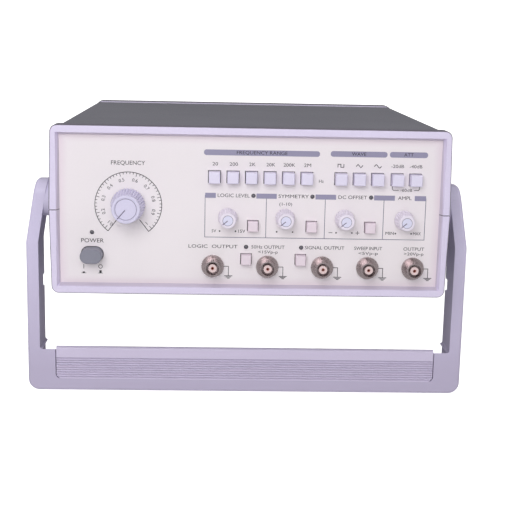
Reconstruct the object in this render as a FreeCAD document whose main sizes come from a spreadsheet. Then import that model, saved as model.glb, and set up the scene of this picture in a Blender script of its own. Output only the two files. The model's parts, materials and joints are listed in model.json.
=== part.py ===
"""Bench function generator: a two-part plastic case with a swing handle that is also its stand.

The case is drawn in its own frame first: X runs to the right as seen from the front, Y runs from
the front bezel's face to the back, and Z is up from the seam where the two case halves meet.
At the end every piece is turned together, so that the case leans back on its handle.
"""
import math
import os

import FreeCAD
import Part
import Sketcher

doc = FreeCAD.newDocument("function_generator")
Vector = FreeCAD.Vector
Placement = FreeCAD.Placement
Rotation = FreeCAD.Rotation
RIGHT = Vector(1, 0, 0)
INWARD = Vector(0, 1, 0)
UP = Vector(0, 0, 1)
NO_TURN = Rotation()
HALF_TURN_ABOUT_Y = Rotation(INWARD, 180)
HALF_TURN_ABOUT_Z = Rotation(UP, 180)

# ---------------------------------------------------------------- driving dimensions, millimetres
DIMENSIONS = [
    # front bezel halves
    ("bezel_width", 270.0), ("bezel_height", 57.0), ("bezel_draft", 1.3),
    ("bezel_depth", 12.0), ("bezel_lip", 5.0), ("bezel_corner", 5.0), ("panel_recess", 5.0),
    ("lip_slope", 1.8), ("rebate_depth", 4.0), ("rebate_wall", 3.5), ("flange_wall", 13.0),
    ("edge_round", 1.4), ("seam_bevel", 0.5),
    # rear bezel halves
    ("back_width", 259.6), ("back_height", 58.5), ("back_draft", 1.3), ("back_depth", 10.0),
    ("back_lip", 5.0), ("back_corner", 6.0), ("back_recess", 4.0), ("back_rebate", 3.0),
    ("back_flange", 5.0),
    # case covers, their screw posts and vents
    ("cover_width", 259.0), ("cover_height", 57.0), ("cover_draft", 1.3), ("cover_wall", 2.5),
    ("cover_corner", 3.0), ("cover_length", 227.0),
    ("post_radius", 4.0), ("post_bore", 1.6), ("post_across", 105.0), ("front_post", 26.0),
    ("back_post", 203.0), ("blind_bore", 20.0), ("vent_width", 3.0), ("vent_length", 28.0),
    ("vent_pitch", 12.0), ("first_vent_row", 80.0), ("second_vent_row", 122.0),
    # front and back panels, feet and case screws
    ("panel_width", 262.0), ("panel_height", 106.0), ("panel_thickness", 2.0),
    ("back_panel_width", 252.0), ("back_panel_height", 109.0),
    ("foot_radius", 8.0), ("foot_height", 5.0), ("foot_taper", 1.0), ("foot_floor", 2.0),
    ("screw_radius", 1.5), ("screw_head", 3.0), ("head_height", 1.6), ("head_clearance", 0.4),
    ("driver_slot", 0.8), ("screw_engagement", 14.0),
    # push buttons
    ("pitch", 12.4), ("top_row", 23.4), ("first_range_button", -24.6),
    ("first_wave_button", 60.3), ("first_step_button", 98.4),
    ("large_cap", 7.7), ("small_cap", 6.8), ("cap_gap", 0.5), ("cap_round", 0.7),
    ("cap_reach", 7.0), ("small_cap_reach", 5.5), ("cap_back", 3.0), ("stem_width", 3.0),
    ("stem_length", 11.0), ("button_travel", 3.0),
    ("box_button_row", -9.5), ("low_button_row", -32.5),
    ("power_place", -106.6), ("power_row", -30.5), ("power_width", 14.6), ("power_height", 9.8),
    ("power_reach", 10.5),
    # knobs
    ("dial_place", -82.4), ("dial_row", 3.3), ("knob_row", -4.1), ("knob_gap", 0.8),
    ("spindle_clearance", 0.5), ("spindle_radius", 3.0), ("spindle_length", 15.0),
    ("large_knob_base", 11.6), ("large_knob_crown", 9.4), ("large_knob_height", 19.2),
    ("small_knob_base", 6.7), ("small_knob_crown", 5.3), ("small_knob_height", 13.2),
    ("knob_collar", 1.6), ("knob_dish", 0.5), ("knob_rim", 1.7), ("knob_bevel", 0.4),
    ("pointer_width", 0.7), ("pointer_cut", 0.9),
    # lamps and bayonet sockets
    ("led_radius", 1.5), ("led_length", 5.0), ("socket_row", -37.5),
    ("barrel_radius", 5.2), ("barrel_bore", 4.4), ("barrel_reach", 10.5),
    ("barrel_flange", 7.6), ("flange_thickness", 2.0), ("barrel_thread", 4.7),
    ("thread_length", 9.0), ("lug_radius", 0.95), ("lug_reach", 6.0), ("lug_place", 3.0),
    ("insulator_radius", 2.8), ("contact_radius", 1.1), ("contact_bore", 0.65),
    ("insulator_setback", 1.2), ("contact_setback", 0.4),
    ("nut_radius", 6.9), ("nut_thickness", 2.5),
    # inside the case
    ("switch_length", 17.0), ("switch_width", 9.6), ("power_switch_width", 15.0),
    ("stem_gap", 0.6), ("switch_gap", 0.5), ("pot_radius", 6.5), ("pot_bore", 14.0),
    ("pot_gap", 0.05), ("board_thickness", 1.6), ("control_board_width", 236.0),
    ("control_board_height", 92.0), ("main_board_width", 180.0), ("main_board_depth", 140.0),
    ("main_board_start", 62.0), ("main_board_drop", 40.0), ("standoff_radius", 3.0),
    ("core_width", 60.0), ("core_depth", 50.0), ("core_height", 44.0), ("core_limb", 10.0),
    ("coil_bulge", 7.0), ("transformer_place", -45.0), ("transformer_start", 140.0),
    # mains inlet and back vents
    ("inlet_place", 78.0), ("inlet_row", -16.0), ("inlet_width", 30.0), ("inlet_height", 34.0),
    ("inlet_flange_width", 50.0), ("inlet_flange_height", 38.0), ("inlet_flange", 2.5),
    ("inlet_corner", 4.0), ("inlet_depth", 24.0), ("inlet_screw_spacing", 20.0),
    ("mouth_width", 24.8), ("mouth_height", 16.6), ("mouth_chamfer", 4.8),
    ("mouth_depth", 18.0), ("mouth_row", 6.0), ("drawer_width", 24.0), ("drawer_height", 8.4),
    ("drawer_depth", 20.0), ("drawer_row", -10.0), ("drawer_pull", 1.2), ("pin_width", 2.0),
    ("pin_height", 4.0), ("pin_spacing", 7.0), ("pin_length", 26.0), ("pin_setback", 2.0),
    ("back_vent_place", -59.0), ("back_vent_row", 14.0), ("back_vent_pitch", 6.0),
    ("back_vent_width", 2.6), ("back_vent_height", 34.0), ("inlet_screw_length", 8.0),
    # handle, measured from its pivot
    ("pivot_depth", 60.0), ("arm_width", 27.0), ("arm_top_outside", 151.0),
    ("arm_outside", 158.6), ("arm_top_inside", 142.6), ("arm_inside", 149.7), ("arm_knee", 31.0),
    ("bar_top", 107.0), ("block_top", 109.7), ("bar_bottom", 141.0), ("grip_bottom", 131.8),
    ("grip_half_length", 138.0), ("grip_slot_gap", 0.6), ("frame_corner", 8.0),
    ("inside_corner", 2.0), ("tongue_width", 12.0), ("tongue_top", 116.5), ("neck_length", 10.0),
    ("top_fall", 8.5), ("arm_end_round", 10.0), ("bar_edge_round", 2.5), ("grip_edge_round", 2.2),
    ("grip_corner", 3.6), ("rib_pitch", 1.75), ("rib_depth", 0.6), ("rib_half_width", 0.8),
    ("first_rib", 116.6), ("catch_top", 59.0), ("catch_bottom", 68.0), ("catch_depth", 6.0),
    ("hub_radius", 13.5), ("hub_face", 137.6), ("boss_face", 138.0), ("pin_radius", 6.0),
    ("pin_end", 148.8), ("pin_gap", 0.05), ("cap_screw_radius", 8.0), ("cap_screw_seat", 148.4),
    ("cap_screw_gap", 0.5), ("cap_screw_thread", 1.6), ("cap_screw_length", 18.0),
    ("washer_radius", 17.0), ("washer_thickness", 2.8), ("washer_gap", 0.6),
]

sheet = doc.addObject("Spreadsheet::Sheet", "sizes")
for row, (name, value) in enumerate(DIMENSIONS, start=1):
    sheet.set("A%d" % row, name)
    sheet.set("B%d" % row, str(value))
    sheet.setAlias("B%d" % row, name)
doc.recompute()
size = {name: float(getattr(sheet, name)) for name, value in DIMENSIONS}

nodes = []


# ---------------------------------------------------------------- helpers
def keep(feature, label, place=Placement()):
    """Name a finished piece, put it in its place in the case, and list it for export."""
    feature.Label = label
    feature.Placement = place
    nodes.append(feature)
    return feature


def at(across=0.0, depth=0.0, height=0.0, turn=NO_TURN):
    """A place in the case: to the right, inwards from the bezel's face, and up from the seam."""
    return Placement(Vector(across, depth, height), turn)


def new_body(label):
    return doc.addObject("PartDesign::Body", label)


def new_sketch(body, name, role, across=0.0, up=0.0, out=0.0):
    """A sketch on one of the body's own origin planes, moved within and off that plane."""
    plane = [item for item in body.Origin.OriginFeatures if item.Role == role][0]
    sketch = body.newObject("Sketcher::SketchObject", name)
    sketch.AttachmentSupport = [(plane, "")]
    sketch.MapMode = "FlatFace"
    sketch.AttachmentOffset = Placement(Vector(across, up, out), NO_TURN)
    return sketch


def rectangle(sketch, width, height):
    """A centred rectangle; its width and height are expressions on the sheet."""
    corners = [Vector(-1, -1, 0), Vector(1, -1, 0), Vector(1, 1, 0), Vector(-1, 1, 0)]
    for index in range(4):
        sketch.addGeometry(Part.LineSegment(corners[index], corners[(index + 1) % 4]))
    for index in range(4):
        sketch.addConstraint(Sketcher.Constraint("Coincident", index, 2, (index + 1) % 4, 1))
        direction = "Horizontal" if index % 2 == 0 else "Vertical"
        sketch.addConstraint(Sketcher.Constraint(direction, index))
    across = sketch.addConstraint(Sketcher.Constraint("DistanceX", 0, 1, 0, 2, 2.0))
    up = sketch.addConstraint(Sketcher.Constraint("DistanceY", 1, 1, 1, 2, 2.0))
    sketch.addConstraint(Sketcher.Constraint("Symmetric", 0, 1, 1, 2, -1, 1))
    sketch.setExpression("Constraints[%d]" % across, width)
    sketch.setExpression("Constraints[%d]" % up, height)


def circle(sketch, radius):
    """A circle on the sketch's origin, with its radius an expression on the sheet."""
    sketch.addGeometry(Part.Circle(Vector(0, 0, 0), UP, 1.0))
    sketch.addConstraint(Sketcher.Constraint("Coincident", 0, 3, -1, 1))
    index = sketch.addConstraint(Sketcher.Constraint("Radius", 0, 1.0))
    sketch.setExpression("Constraints[%d]" % index, radius)


def outline(sketch, points, radii=None):
    """A closed outline through the points, each corner rounded by its own radius."""
    count = len(points)
    radii = radii or [0.0] * count
    corner = [Vector(across, up, 0) for across, up in points]
    starts = []
    ends = []
    middles = []
    for index in range(count):
        before = (corner[index - 1] - corner[index]).normalize()
        after = (corner[(index + 1) % count] - corner[index]).normalize()
        half_angle = before.getAngle(after) / 2
        reach = radii[index] / math.tan(half_angle)
        starts.append(corner[index] + before * reach)
        ends.append(corner[index] + after * reach)
        towards = (before + after)
        if radii[index] > 0:
            towards.normalize()
            far = radii[index] / math.sin(half_angle) - radii[index]
            middles.append(corner[index] + towards * far)
        else:
            middles.append(None)
    for index in range(count):
        if middles[index] is not None:
            sketch.addGeometry(Part.Arc(starts[index], middles[index], ends[index]))
        sketch.addGeometry(Part.LineSegment(ends[index], starts[(index + 1) % count]))


def rectangle_corners(across, up, width, height):
    return [(across - width / 2, up - height / 2), (across + width / 2, up - height / 2),
            (across + width / 2, up + height / 2), (across - width / 2, up + height / 2)]


def oblong(sketch, width, height):
    """A slot shape with fully round ends."""
    outline(sketch, rectangle_corners(0, 0, width, height), [height / 2 - 0.01] * 4)


def polygons(sketch, shapes):
    """Several closed straight-sided outlines in one sketch."""
    for points in shapes:
        corner = [Vector(across, up, 0) for across, up in points]
        for index in range(len(corner)):
            sketch.addGeometry(Part.LineSegment(corner[index - 1], corner[index]))


def pad(body, sketch, length, inwards=True, both_ways=False):
    """Thicken a sketch; on an upright sketch, inwards is towards the back of the case."""
    feature = body.newObject("PartDesign::Pad", "Pad")
    feature.Profile = sketch
    feature.Reversed = inwards
    feature.Midplane = both_ways
    feature.setExpression("Length", length)
    return feature


def pocket(body, sketch, length, reverse=False, both_ways=False):
    """Cut a sketch into the body, and make sure that it removed something."""
    doc.recompute()
    before = body.Tip.Shape.Volume
    feature = body.newObject("PartDesign::Pocket", "Pocket")
    feature.Profile = sketch
    feature.Reversed = reverse
    feature.Midplane = both_ways
    feature.setExpression("Length", length)
    doc.recompute()
    if not feature.Shape.Volume < before - 1e-6:
        raise ValueError("a pocket of %s cut nothing" % body.Name)
    return feature


def revolve(body, sketch, axis, kind="PartDesign::Revolution"):
    feature = body.newObject(kind, "Turned")
    feature.Profile = sketch
    feature.ReferenceAxis = (sketch, [axis])
    feature.Angle = 360.0
    return feature


def soften(body, radius, chosen, kind="PartDesign::Fillet"):
    """Round or bevel the edges that the test picks."""
    doc.recompute()
    base = body.Tip
    names = ["Edge%d" % (index + 1) for index, edge in enumerate(base.Shape.Edges) if chosen(edge)]
    if not names:
        raise ValueError("no edges to soften on %s" % body.Name)
    feature = body.newObject(kind, "Softened")
    feature.Base = (base, names)
    feature.setExpression("Radius" if kind.endswith("Fillet") else "Size", radius)
    return feature


def near(first, second, slack=0.01):
    return abs(first - second) < slack


def group(label, shape, places):
    """Identical small pieces share one node, each as its own solid."""
    copies = []
    for place in places:
        copy = shape.copy()
        copy.Placement = place.multiply(copy.Placement)
        copies.append(copy)
    feature = doc.addObject("Part::Feature", label)
    feature.Shape = Part.makeCompound(copies)
    return keep(feature, label)


def block(width, depth, height, across=0.0, start=0.0, up=0.0):
    """A plain block: centred across and in height, starting at a depth."""
    return Part.makeBox(width, depth, height, Vector(across - width / 2, start, up - height / 2))


def turned(points, axis=INWARD):
    """A solid of revolution from (radius, distance along the axis) points."""
    if axis == INWARD:
        corner = [Vector(radius, along, 0) for radius, along in points]
    else:
        corner = [Vector(along, radius, 0) for radius, along in points]
    face = Part.Face(Part.makePolygon(corner + [corner[0]]))
    return face.revolve(Vector(0, 0, 0), axis, 360)


# ---------------------------------------------------------------- case: bezels, covers, panels
def bezel_half(label, name, place):
    """Half of a picture-frame bezel: a drafted hoop with a sloping lip, a rebate for the panel
    and a flange that the cover butts against. The lip faces the outside."""
    half = size[name + "_width"] / 2
    height = size[name + "_height"]
    draft = size[name + "_draft"]
    lip = size[name + "_lip"]
    depth = size[name + "_depth"]
    recess = size["panel_recess" if name == "bezel" else "back_recess"]
    rebate = size["rebate_depth" if name == "bezel" else "back_rebate"]
    slope = size["lip_slope"]
    below = -lip
    body = new_body(label)
    hoop = new_sketch(body, "HoopOutline", "XZ_Plane")
    outline(hoop, [(-half, 0), (-half + draft, height), (half - draft, height), (half, 0)],
            [0, size[name + "_corner"], size[name + "_corner"], 0])
    pad(body, hoop, "sizes.%s_depth" % name)

    def window(title, inset, start):
        sketch = new_sketch(body, title, "XZ_Plane", out=-start)
        side = half - inset
        top = height - inset
        outline(sketch, [(-side, below), (side, below), (side, top), (-side, top)])
        return sketch

    mouth = window("LipMouth", lip, 0)
    throat = window("LipThroat", lip + slope, recess)
    doc.recompute()
    loft = body.newObject("PartDesign::SubtractiveLoft", "LipSlope")
    loft.Profile = mouth
    loft.Sections = [throat]
    loft.Ruled = True
    pocket(body, window("PanelRebate", size["rebate_wall"], recess), "%f" % rebate)
    flange = size["flange_wall" if name == "bezel" else "back_flange"]
    pocket(body, window("BackWindow", flange, recess + rebate),
           "%f" % (depth - recess - rebate))
    soften(body, "sizes.edge_round", lambda edge: near(edge.BoundBox.YMax, 0)
           and (edge.BoundBox.ZMax > height - 0.1 or abs(edge.CenterOfMass.x) > half - draft))
    soften(body, "sizes.seam_bevel", lambda edge: near(edge.BoundBox.ZMax, 0)
           and near(edge.BoundBox.XLength, 0) and abs(edge.CenterOfMass.x) > half - 0.2,
           "PartDesign::Chamfer")
    return keep(body, label, place)


def cover_half(label, place, vents):
    """Half of the case shell: a drafted channel with four screw posts."""
    foot = size["cover_width"] / 2
    head = foot - size["cover_draft"]
    height = size["cover_height"]
    wall = size["cover_wall"]
    body = new_body(label)
    channel = new_sketch(body, "ChannelOutline", "XZ_Plane")
    outline(channel, [(-foot, 0), (-head, height), (head, height), (foot, 0), (foot - wall, 0),
                      (head - wall, height - wall), (wall - head, height - wall),
                      (wall - foot, 0)],
            [0, size["cover_corner"], size["cover_corner"], 0, 0, 1.0, 1.0, 0])
    pad(body, channel, "sizes.cover_length")
    for across in (-size["post_across"], size["post_across"]):
        for depth in (size["front_post"], size["back_post"]):
            post = new_sketch(body, "Post", "XY_Plane", across, depth)
            circle(post, "sizes.post_radius")
            pad(body, post, "sizes.cover_height - sizes.cover_wall / 2", inwards=False)
            bore = new_sketch(body, "PostBore", "XY_Plane", across, depth)
            circle(bore, "sizes.post_bore")
            pocket(body, bore, "sizes.cover_height" if vents else "sizes.blind_bore",
                   reverse=True)
    seat = new_sketch(body, "HubSeat", "YZ_Plane",
                      size["pivot_depth"] - size["bezel_depth"], 0)
    circle(seat, "sizes.hub_radius")
    pocket(body, seat, "sizes.bezel_width", both_ways=True)
    if vents:
        slots = new_sketch(body, "VentSlots", "XY_Plane")
        rows = [size[row] + size["vent_length"] / 2 for row in ("first_vent_row",
                                                                "second_vent_row")]
        polygons(slots, [rectangle_corners((index - 5.5) * size["vent_pitch"], row,
                                           size["vent_width"], size["vent_length"])
                         for row in rows for index in range(12)])
        pocket(body, slots, "sizes.cover_height", reverse=True)
    return keep(body, label, place)


bezel_half("front_bezel_upper", "bezel", at())
bezel_half("front_bezel_lower", "bezel", at(turn=HALF_TURN_ABOUT_Y))
cover_half("top_cover", at(depth=size["bezel_depth"]), vents=False)
cover_half("bottom_cover", at(depth=size["bezel_depth"], turn=HALF_TURN_ABOUT_Y), vents=True)
back_face = size["bezel_depth"] + size["cover_length"] + size["back_depth"]
bezel_half("rear_bezel_upper", "back", at(depth=back_face, turn=HALF_TURN_ABOUT_Z))
bezel_half("rear_bezel_lower", "back", at(depth=back_face, turn=Rotation(RIGHT, 180)))

# ---------------------------------------------------------------- the panel's layout
RANGE_NAMES = ["20", "200", "2k", "20k", "200k", "2m"]
WAVE_NAMES = ["square", "triangle", "sine"]
STEP_NAMES = ["20db", "40db"]
large_buttons = []
for index, name in enumerate(RANGE_NAMES):
    large_buttons.append(("range_button_" + name,
                          size["first_range_button"] + index * size["pitch"]))
for index, name in enumerate(WAVE_NAMES):
    large_buttons.append(("wave_button_" + name,
                          size["first_wave_button"] + index * size["pitch"]))
for index, name in enumerate(STEP_NAMES):
    large_buttons.append(("attenuator_button_" + name,
                          size["first_step_button"] + index * size["pitch"]))
SMALL_BUTTONS = [("level_button", 1.7, "box_button_row"),
                 ("symmetry_button", 41.4, "box_button_row"),
                 ("offset_button", 81.2, "box_button_row"),
                 ("line_output_button", -2.5, "low_button_row"),
                 ("signal_output_button", 34.6, "low_button_row")]
SMALL_KNOBS = [("level_knob", -15.3), ("symmetry_knob", 23.4), ("offset_knob", 63.8),
               ("amplitude_knob", 104.3)]
SOCKETS = [("logic_output_socket", -25.1), ("line_output_socket", 12.1),
           ("signal_output_socket", 49.5), ("sweep_input_socket", 80.5),
           ("main_output_socket", 111.6)]
LAMPS = [(-106.7, -15.6), (1.8, 10.9), (41.6, 10.9), (81.4, 10.9), (-2.5, -24.2), (35.0, -24.2)]

panel_front = size["panel_recess"]
panel_back = panel_front + size["panel_thickness"]


def front_panel():
    """The control panel, with an opening for each button, knob spindle, lamp and socket."""
    body = new_body("front_panel")
    plate = new_sketch(body, "Plate", "XZ_Plane")
    rectangle(plate, "sizes.panel_width", "sizes.panel_height")
    pad(body, plate, "sizes.panel_thickness")
    openings = new_sketch(body, "Openings", "XZ_Plane")
    gap = 2 * size["cap_gap"]
    windows = [rectangle_corners(across, size["top_row"], size["large_cap"] + gap,
                                 size["large_cap"] + gap) for label, across in large_buttons]
    for label, across, row in SMALL_BUTTONS:
        windows.append(rectangle_corners(across, size[row], size["small_cap"] + gap,
                                         size["small_cap"] + gap))
    polygons(openings, windows)
    holes = [(across, up, size["led_radius"]) for across, up in LAMPS]
    spindle_hole = size["spindle_radius"] + size["spindle_clearance"]
    holes += [(across, size["knob_row"], spindle_hole) for label, across in SMALL_KNOBS]
    holes.append((size["dial_place"], size["dial_row"], spindle_hole))
    holes += [(across, size["socket_row"], size["barrel_thread"]) for label, across in SOCKETS]
    for across, up, radius in holes:
        openings.addGeometry(Part.Circle(Vector(across, up, 0), UP, radius))
    pocket(body, openings, "sizes.panel_thickness")
    power = new_sketch(body, "PowerOpening", "XZ_Plane", size["power_place"], size["power_row"])
    oblong(power, size["power_width"] + gap, size["power_height"] + gap)
    pocket(body, power, "sizes.panel_thickness")
    return keep(body, "front_panel", at(depth=panel_front))


front_panel()


# ---------------------------------------------------------------- buttons
def button(label, across, up, cap, reach, width=None):
    """A push-button cap with its square stem; the cap stands proud of the panel."""
    body = new_body(label)
    face = new_sketch(body, "CapOutline", "XZ_Plane")
    if width:
        oblong(face, width, cap)
    else:
        rectangle(face, "%f" % cap, "%f" % cap)
    pad(body, face, "%f + sizes.cap_back" % reach)
    edge_kind = "PartDesign::Chamfer" if width else "PartDesign::Fillet"
    soften(body, "sizes.cap_round", lambda edge: near(edge.BoundBox.YMax, 0), edge_kind)
    length = reach + size["cap_back"]
    stem = new_sketch(body, "StemOutline", "XZ_Plane", out=-length)
    rectangle(stem, "sizes.stem_width", "sizes.stem_width")
    pad(body, stem, "sizes.stem_length")
    return keep(body, label, at(across, panel_front - reach, up))


for label, across in large_buttons:
    button(label, across, size["top_row"], size["large_cap"], size["cap_reach"])
for label, across, row in SMALL_BUTTONS:
    button(label, across, size[row], size["small_cap"], size["small_cap_reach"])
button("power_button", size["power_place"], size["power_row"], size["power_height"],
       size["power_reach"], size["power_width"])


# ---------------------------------------------------------------- knobs
def fluted_outline(radius, flutes):
    """Corners of a fluted section: a flat land, then a vee, all the way round."""
    step = 2 * math.pi / flutes
    corners = []
    for index in range(flutes):
        for reach, turn in ((radius, 0.0), (radius, 0.4), (radius * FLUTE_FLOOR, 0.7)):
            angle = (index + turn) * step
            corners.append((reach * math.cos(angle), reach * math.sin(angle)))
    return corners


def knob(label, across, up, name, flutes, pointer):
    """A knob moulded with its spindle: a smooth dished crown on a fluted cone. The cone is a loft
    between two fluted sections, so every flute narrows towards the crown."""
    base = size[name + "_base"]
    crown = size[name + "_crown"]
    height = size[name + "_height"]
    collar = size["knob_collar"]
    bevel = size["knob_bevel"]
    dish = size["knob_dish"]
    inner = crown - size["knob_rim"]
    spindle = size["spindle_radius"]
    tail = height + size["spindle_length"]
    body = new_body(label)
    profile = new_sketch(body, "CrownAndSpindle", "XY_Plane")
    outline(profile, [(0, dish), (inner - dish, dish), (inner, 0), (crown - bevel, 0),
                      (crown, bevel), (crown, collar), (spindle, collar), (spindle, tail),
                      (0, tail)])
    revolve(body, profile, "V_Axis")
    front = new_sketch(body, "FlutedFront", "XZ_Plane", out=-collar)
    polygons(front, [fluted_outline(crown, flutes)])
    back = new_sketch(body, "FlutedBack", "XZ_Plane", out=-height)
    polygons(back, [fluted_outline(base, flutes)])
    doc.recompute()
    skirt = body.newObject("PartDesign::AdditiveLoft", "FlutedSkirt")
    skirt.Profile = front
    skirt.Sections = [back]
    skirt.Ruled = True
    line = new_sketch(body, "PointerLine", "XZ_Plane")
    direction = math.radians(pointer)
    side = Vector(-math.sin(direction), math.cos(direction), 0) * size["pointer_width"] / 2
    tip = Vector(math.cos(direction), math.sin(direction), 0) * (crown + bevel)
    polygons(line, [[(corner.x, corner.y) for corner in (side, -side, tip - side, tip + side)]])
    pocket(body, line, "sizes.pointer_cut")
    return keep(body, label, at(across, panel_front - size["knob_gap"] - height, up))


FLUTE_FLOOR = 0.93
DIAL_POINTER = 229.0
SMALL_POINTER = 219.0
knob("frequency_knob", size["dial_place"], size["dial_row"], "large_knob", 36, DIAL_POINTER)
for label, across in SMALL_KNOBS:
    knob(label, across, size["knob_row"], "small_knob", 20, SMALL_POINTER)


# ---------------------------------------------------------------- bayonet sockets
def socket(label, across):
    """A bayonet socket: turned shell with a flange, two locking lugs and a rear thread."""
    reach = size["barrel_reach"]
    shoulder = reach - size["flange_thickness"]
    tail = reach + size["thread_length"]
    body = new_body(label)
    profile = new_sketch(body, "ShellProfile", "XY_Plane")
    outline(profile, [(0, 0), (size["barrel_radius"], 0), (size["barrel_radius"], shoulder),
                      (size["barrel_flange"], shoulder), (size["barrel_flange"], reach),
                      (size["barrel_thread"], reach), (size["barrel_thread"], tail), (0, tail)])
    revolve(body, profile, "V_Axis")
    lugs = new_sketch(body, "Lugs", "XY_Plane", 0, size["lug_place"])
    circle(lugs, "sizes.lug_radius")
    pad(body, lugs, "2 * sizes.lug_reach", inwards=False, both_ways=True)
    bore = new_sketch(body, "BoreProfile", "XY_Plane")
    outline(bore, [(0, -1.0), (size["barrel_bore"], -1.0), (size["barrel_bore"], shoulder),
                   (0, shoulder)])
    revolve(body, bore, "V_Axis", "PartDesign::Groove")
    return keep(body, label, at(across, panel_front - reach, size["socket_row"]))


for label, across in SOCKETS:
    socket(label, across)

socket_places = [at(across, panel_front, size["socket_row"]) for label, across in SOCKETS]
contact_radius = size["contact_radius"]
contact_bore = size["contact_bore"]
mouth = -size["barrel_reach"]
seat = -size["flange_thickness"]
insulator_face = mouth + size["insulator_setback"]
contact_face = insulator_face + size["contact_setback"]
insulator = turned([(contact_radius, insulator_face), (size["insulator_radius"], insulator_face),
                    (size["insulator_radius"], seat), (contact_radius, seat)])
group("socket_insulators", insulator, socket_places)
contact = turned([(contact_bore, contact_face), (contact_radius, contact_face),
                  (contact_radius, seat), (0, seat), (0, seat - 1.0), (contact_bore, seat - 1.0)])
group("socket_contacts", contact, socket_places)
hexagon = [Vector(size["nut_radius"] * math.cos(math.pi / 3 * step), size["panel_thickness"],
                  size["nut_radius"] * math.sin(math.pi / 3 * step)) for step in range(7)]
nut = Part.Face(Part.makePolygon(hexagon)).extrude(INWARD * size["nut_thickness"])
nut = nut.cut(Part.makeCylinder(size["barrel_thread"], size["thread_length"], Vector(0, 0, 0),
                                INWARD))
group("socket_nuts", nut, socket_places)

# ---------------------------------------------------------------- lamps
lamp_radius = size["led_radius"]
lamp = turned([(0, -lamp_radius), (lamp_radius * 0.7, -lamp_radius * 0.7), (lamp_radius, 0),
               (lamp_radius, size["led_length"]), (0, size["led_length"])])
group("indicator_lamps", lamp, [at(across, panel_front + 1.0, up) for across, up in LAMPS])

# ---------------------------------------------------------------- switches and controls inside
def switch_body(width):
    """A switch block with a blind slot for the button's stem."""
    length = size["switch_length"]
    slot = size["stem_width"] + size["stem_gap"]
    return block(width, length, width).cut(block(slot, length - 1.0, slot, start=-1.0))


small_switch = switch_body(size["switch_width"])
switch_front = panel_front + size["cap_back"] + size["button_travel"] + size["switch_gap"]
group("range_switches", small_switch, [at(across, switch_front, size["top_row"])
                                       for label, across in large_buttons[:6]])
group("wave_switches", small_switch, [at(across, switch_front, size["top_row"])
                                      for label, across in large_buttons[6:9]])
group("attenuator_switches", small_switch, [at(across, switch_front, size["top_row"])
                                            for label, across in large_buttons[9:]])
group("function_switches", small_switch, [at(across, switch_front, size[row])
                                          for label, across, row in SMALL_BUTTONS])
group("power_switch", switch_body(size["power_switch_width"]),
      [at(size["power_place"], switch_front, size["power_row"])])

board_front = switch_front + size["switch_length"]
pot = Part.makeCylinder(size["pot_radius"], board_front - panel_back, Vector(0, panel_back, 0),
                        INWARD)
pot = pot.cut(Part.makeCylinder(size["spindle_radius"] + size["pot_gap"], size["pot_bore"],
                                Vector(0, panel_back, 0), INWARD))
group("potentiometers", pot, [at(across, 0, size["knob_row"]) for label, across in SMALL_KNOBS]
      + [at(size["dial_place"], 0, size["dial_row"])])


def board(label, width, depth, height, place):
    """A circuit board, as one plain plate."""
    feature = doc.addObject("Part::Box", label)
    feature.Length = width
    feature.Width = depth
    feature.Height = height
    return keep(feature, label, place)


def single(label, shape, place):
    """A piece made from one plain solid."""
    feature = doc.addObject("Part::Feature", label)
    feature.Shape = shape
    return keep(feature, label, place)


board_top = -size["main_board_drop"] + size["board_thickness"]
board("control_board", size["control_board_width"], size["board_thickness"],
      size["control_board_height"],
      at(-size["control_board_width"] / 2, board_front, -size["control_board_height"] / 2))
board("main_board", size["main_board_width"], size["main_board_depth"], size["board_thickness"],
      at(-size["main_board_width"] / 2, size["main_board_start"], -size["main_board_drop"]))
floor_inside = -size["cover_height"] + size["cover_wall"]
standoff = Part.makeCylinder(size["standoff_radius"], -size["main_board_drop"] - floor_inside,
                             Vector(0, 0, floor_inside), UP)
standoff_inset = 2 * size["standoff_radius"]
standoff_across = size["main_board_width"] / 2 - standoff_inset
standoff_rows = (size["main_board_start"] + standoff_inset,
                 size["main_board_start"] + size["main_board_depth"] - standoff_inset)
group("board_standoffs", standoff, [at(across, depth)
                                    for across in (-standoff_across, standoff_across)
                                    for depth in standoff_rows])

core_width = size["core_width"]
core_depth = size["core_depth"]
core_height = size["core_height"]
limb = size["core_limb"]
window_width = core_width / 2 - 2 * limb
coil_height = core_height - 2 * limb
core = block(core_width, core_depth, core_height, up=core_height / 2)
for across in (-limb - window_width / 2, limb + window_width / 2):
    core = core.cut(block(window_width, core_depth + 2, coil_height, across, -1.0,
                          core_height / 2))
single("transformer_core", core, at(size["transformer_place"], size["transformer_start"],
                                    board_top))
coil = block(2 * (limb + window_width), core_depth + 2 * size["coil_bulge"], coil_height,
             start=-size["coil_bulge"], up=core_height / 2)
coil = coil.cut(block(2 * limb, core_depth, coil_height, up=core_height / 2))
single("transformer_coil", coil, at(size["transformer_place"], size["transformer_start"],
                                    board_top))

# ---------------------------------------------------------------- back panel and mains inlet
inlet_place = at(size["inlet_place"],
                 back_face - size["back_recess"] + size["inlet_flange"], size["inlet_row"],
                 HALF_TURN_ABOUT_Z)
inlet_screw_spots = (-size["inlet_screw_spacing"], size["inlet_screw_spacing"])
pin_row = size["mouth_row"] - size["pin_height"] / 2
pin_spots = [(-size["pin_spacing"], pin_row), (size["pin_spacing"], pin_row),
             (0.0, pin_row + size["pin_height"])]


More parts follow.
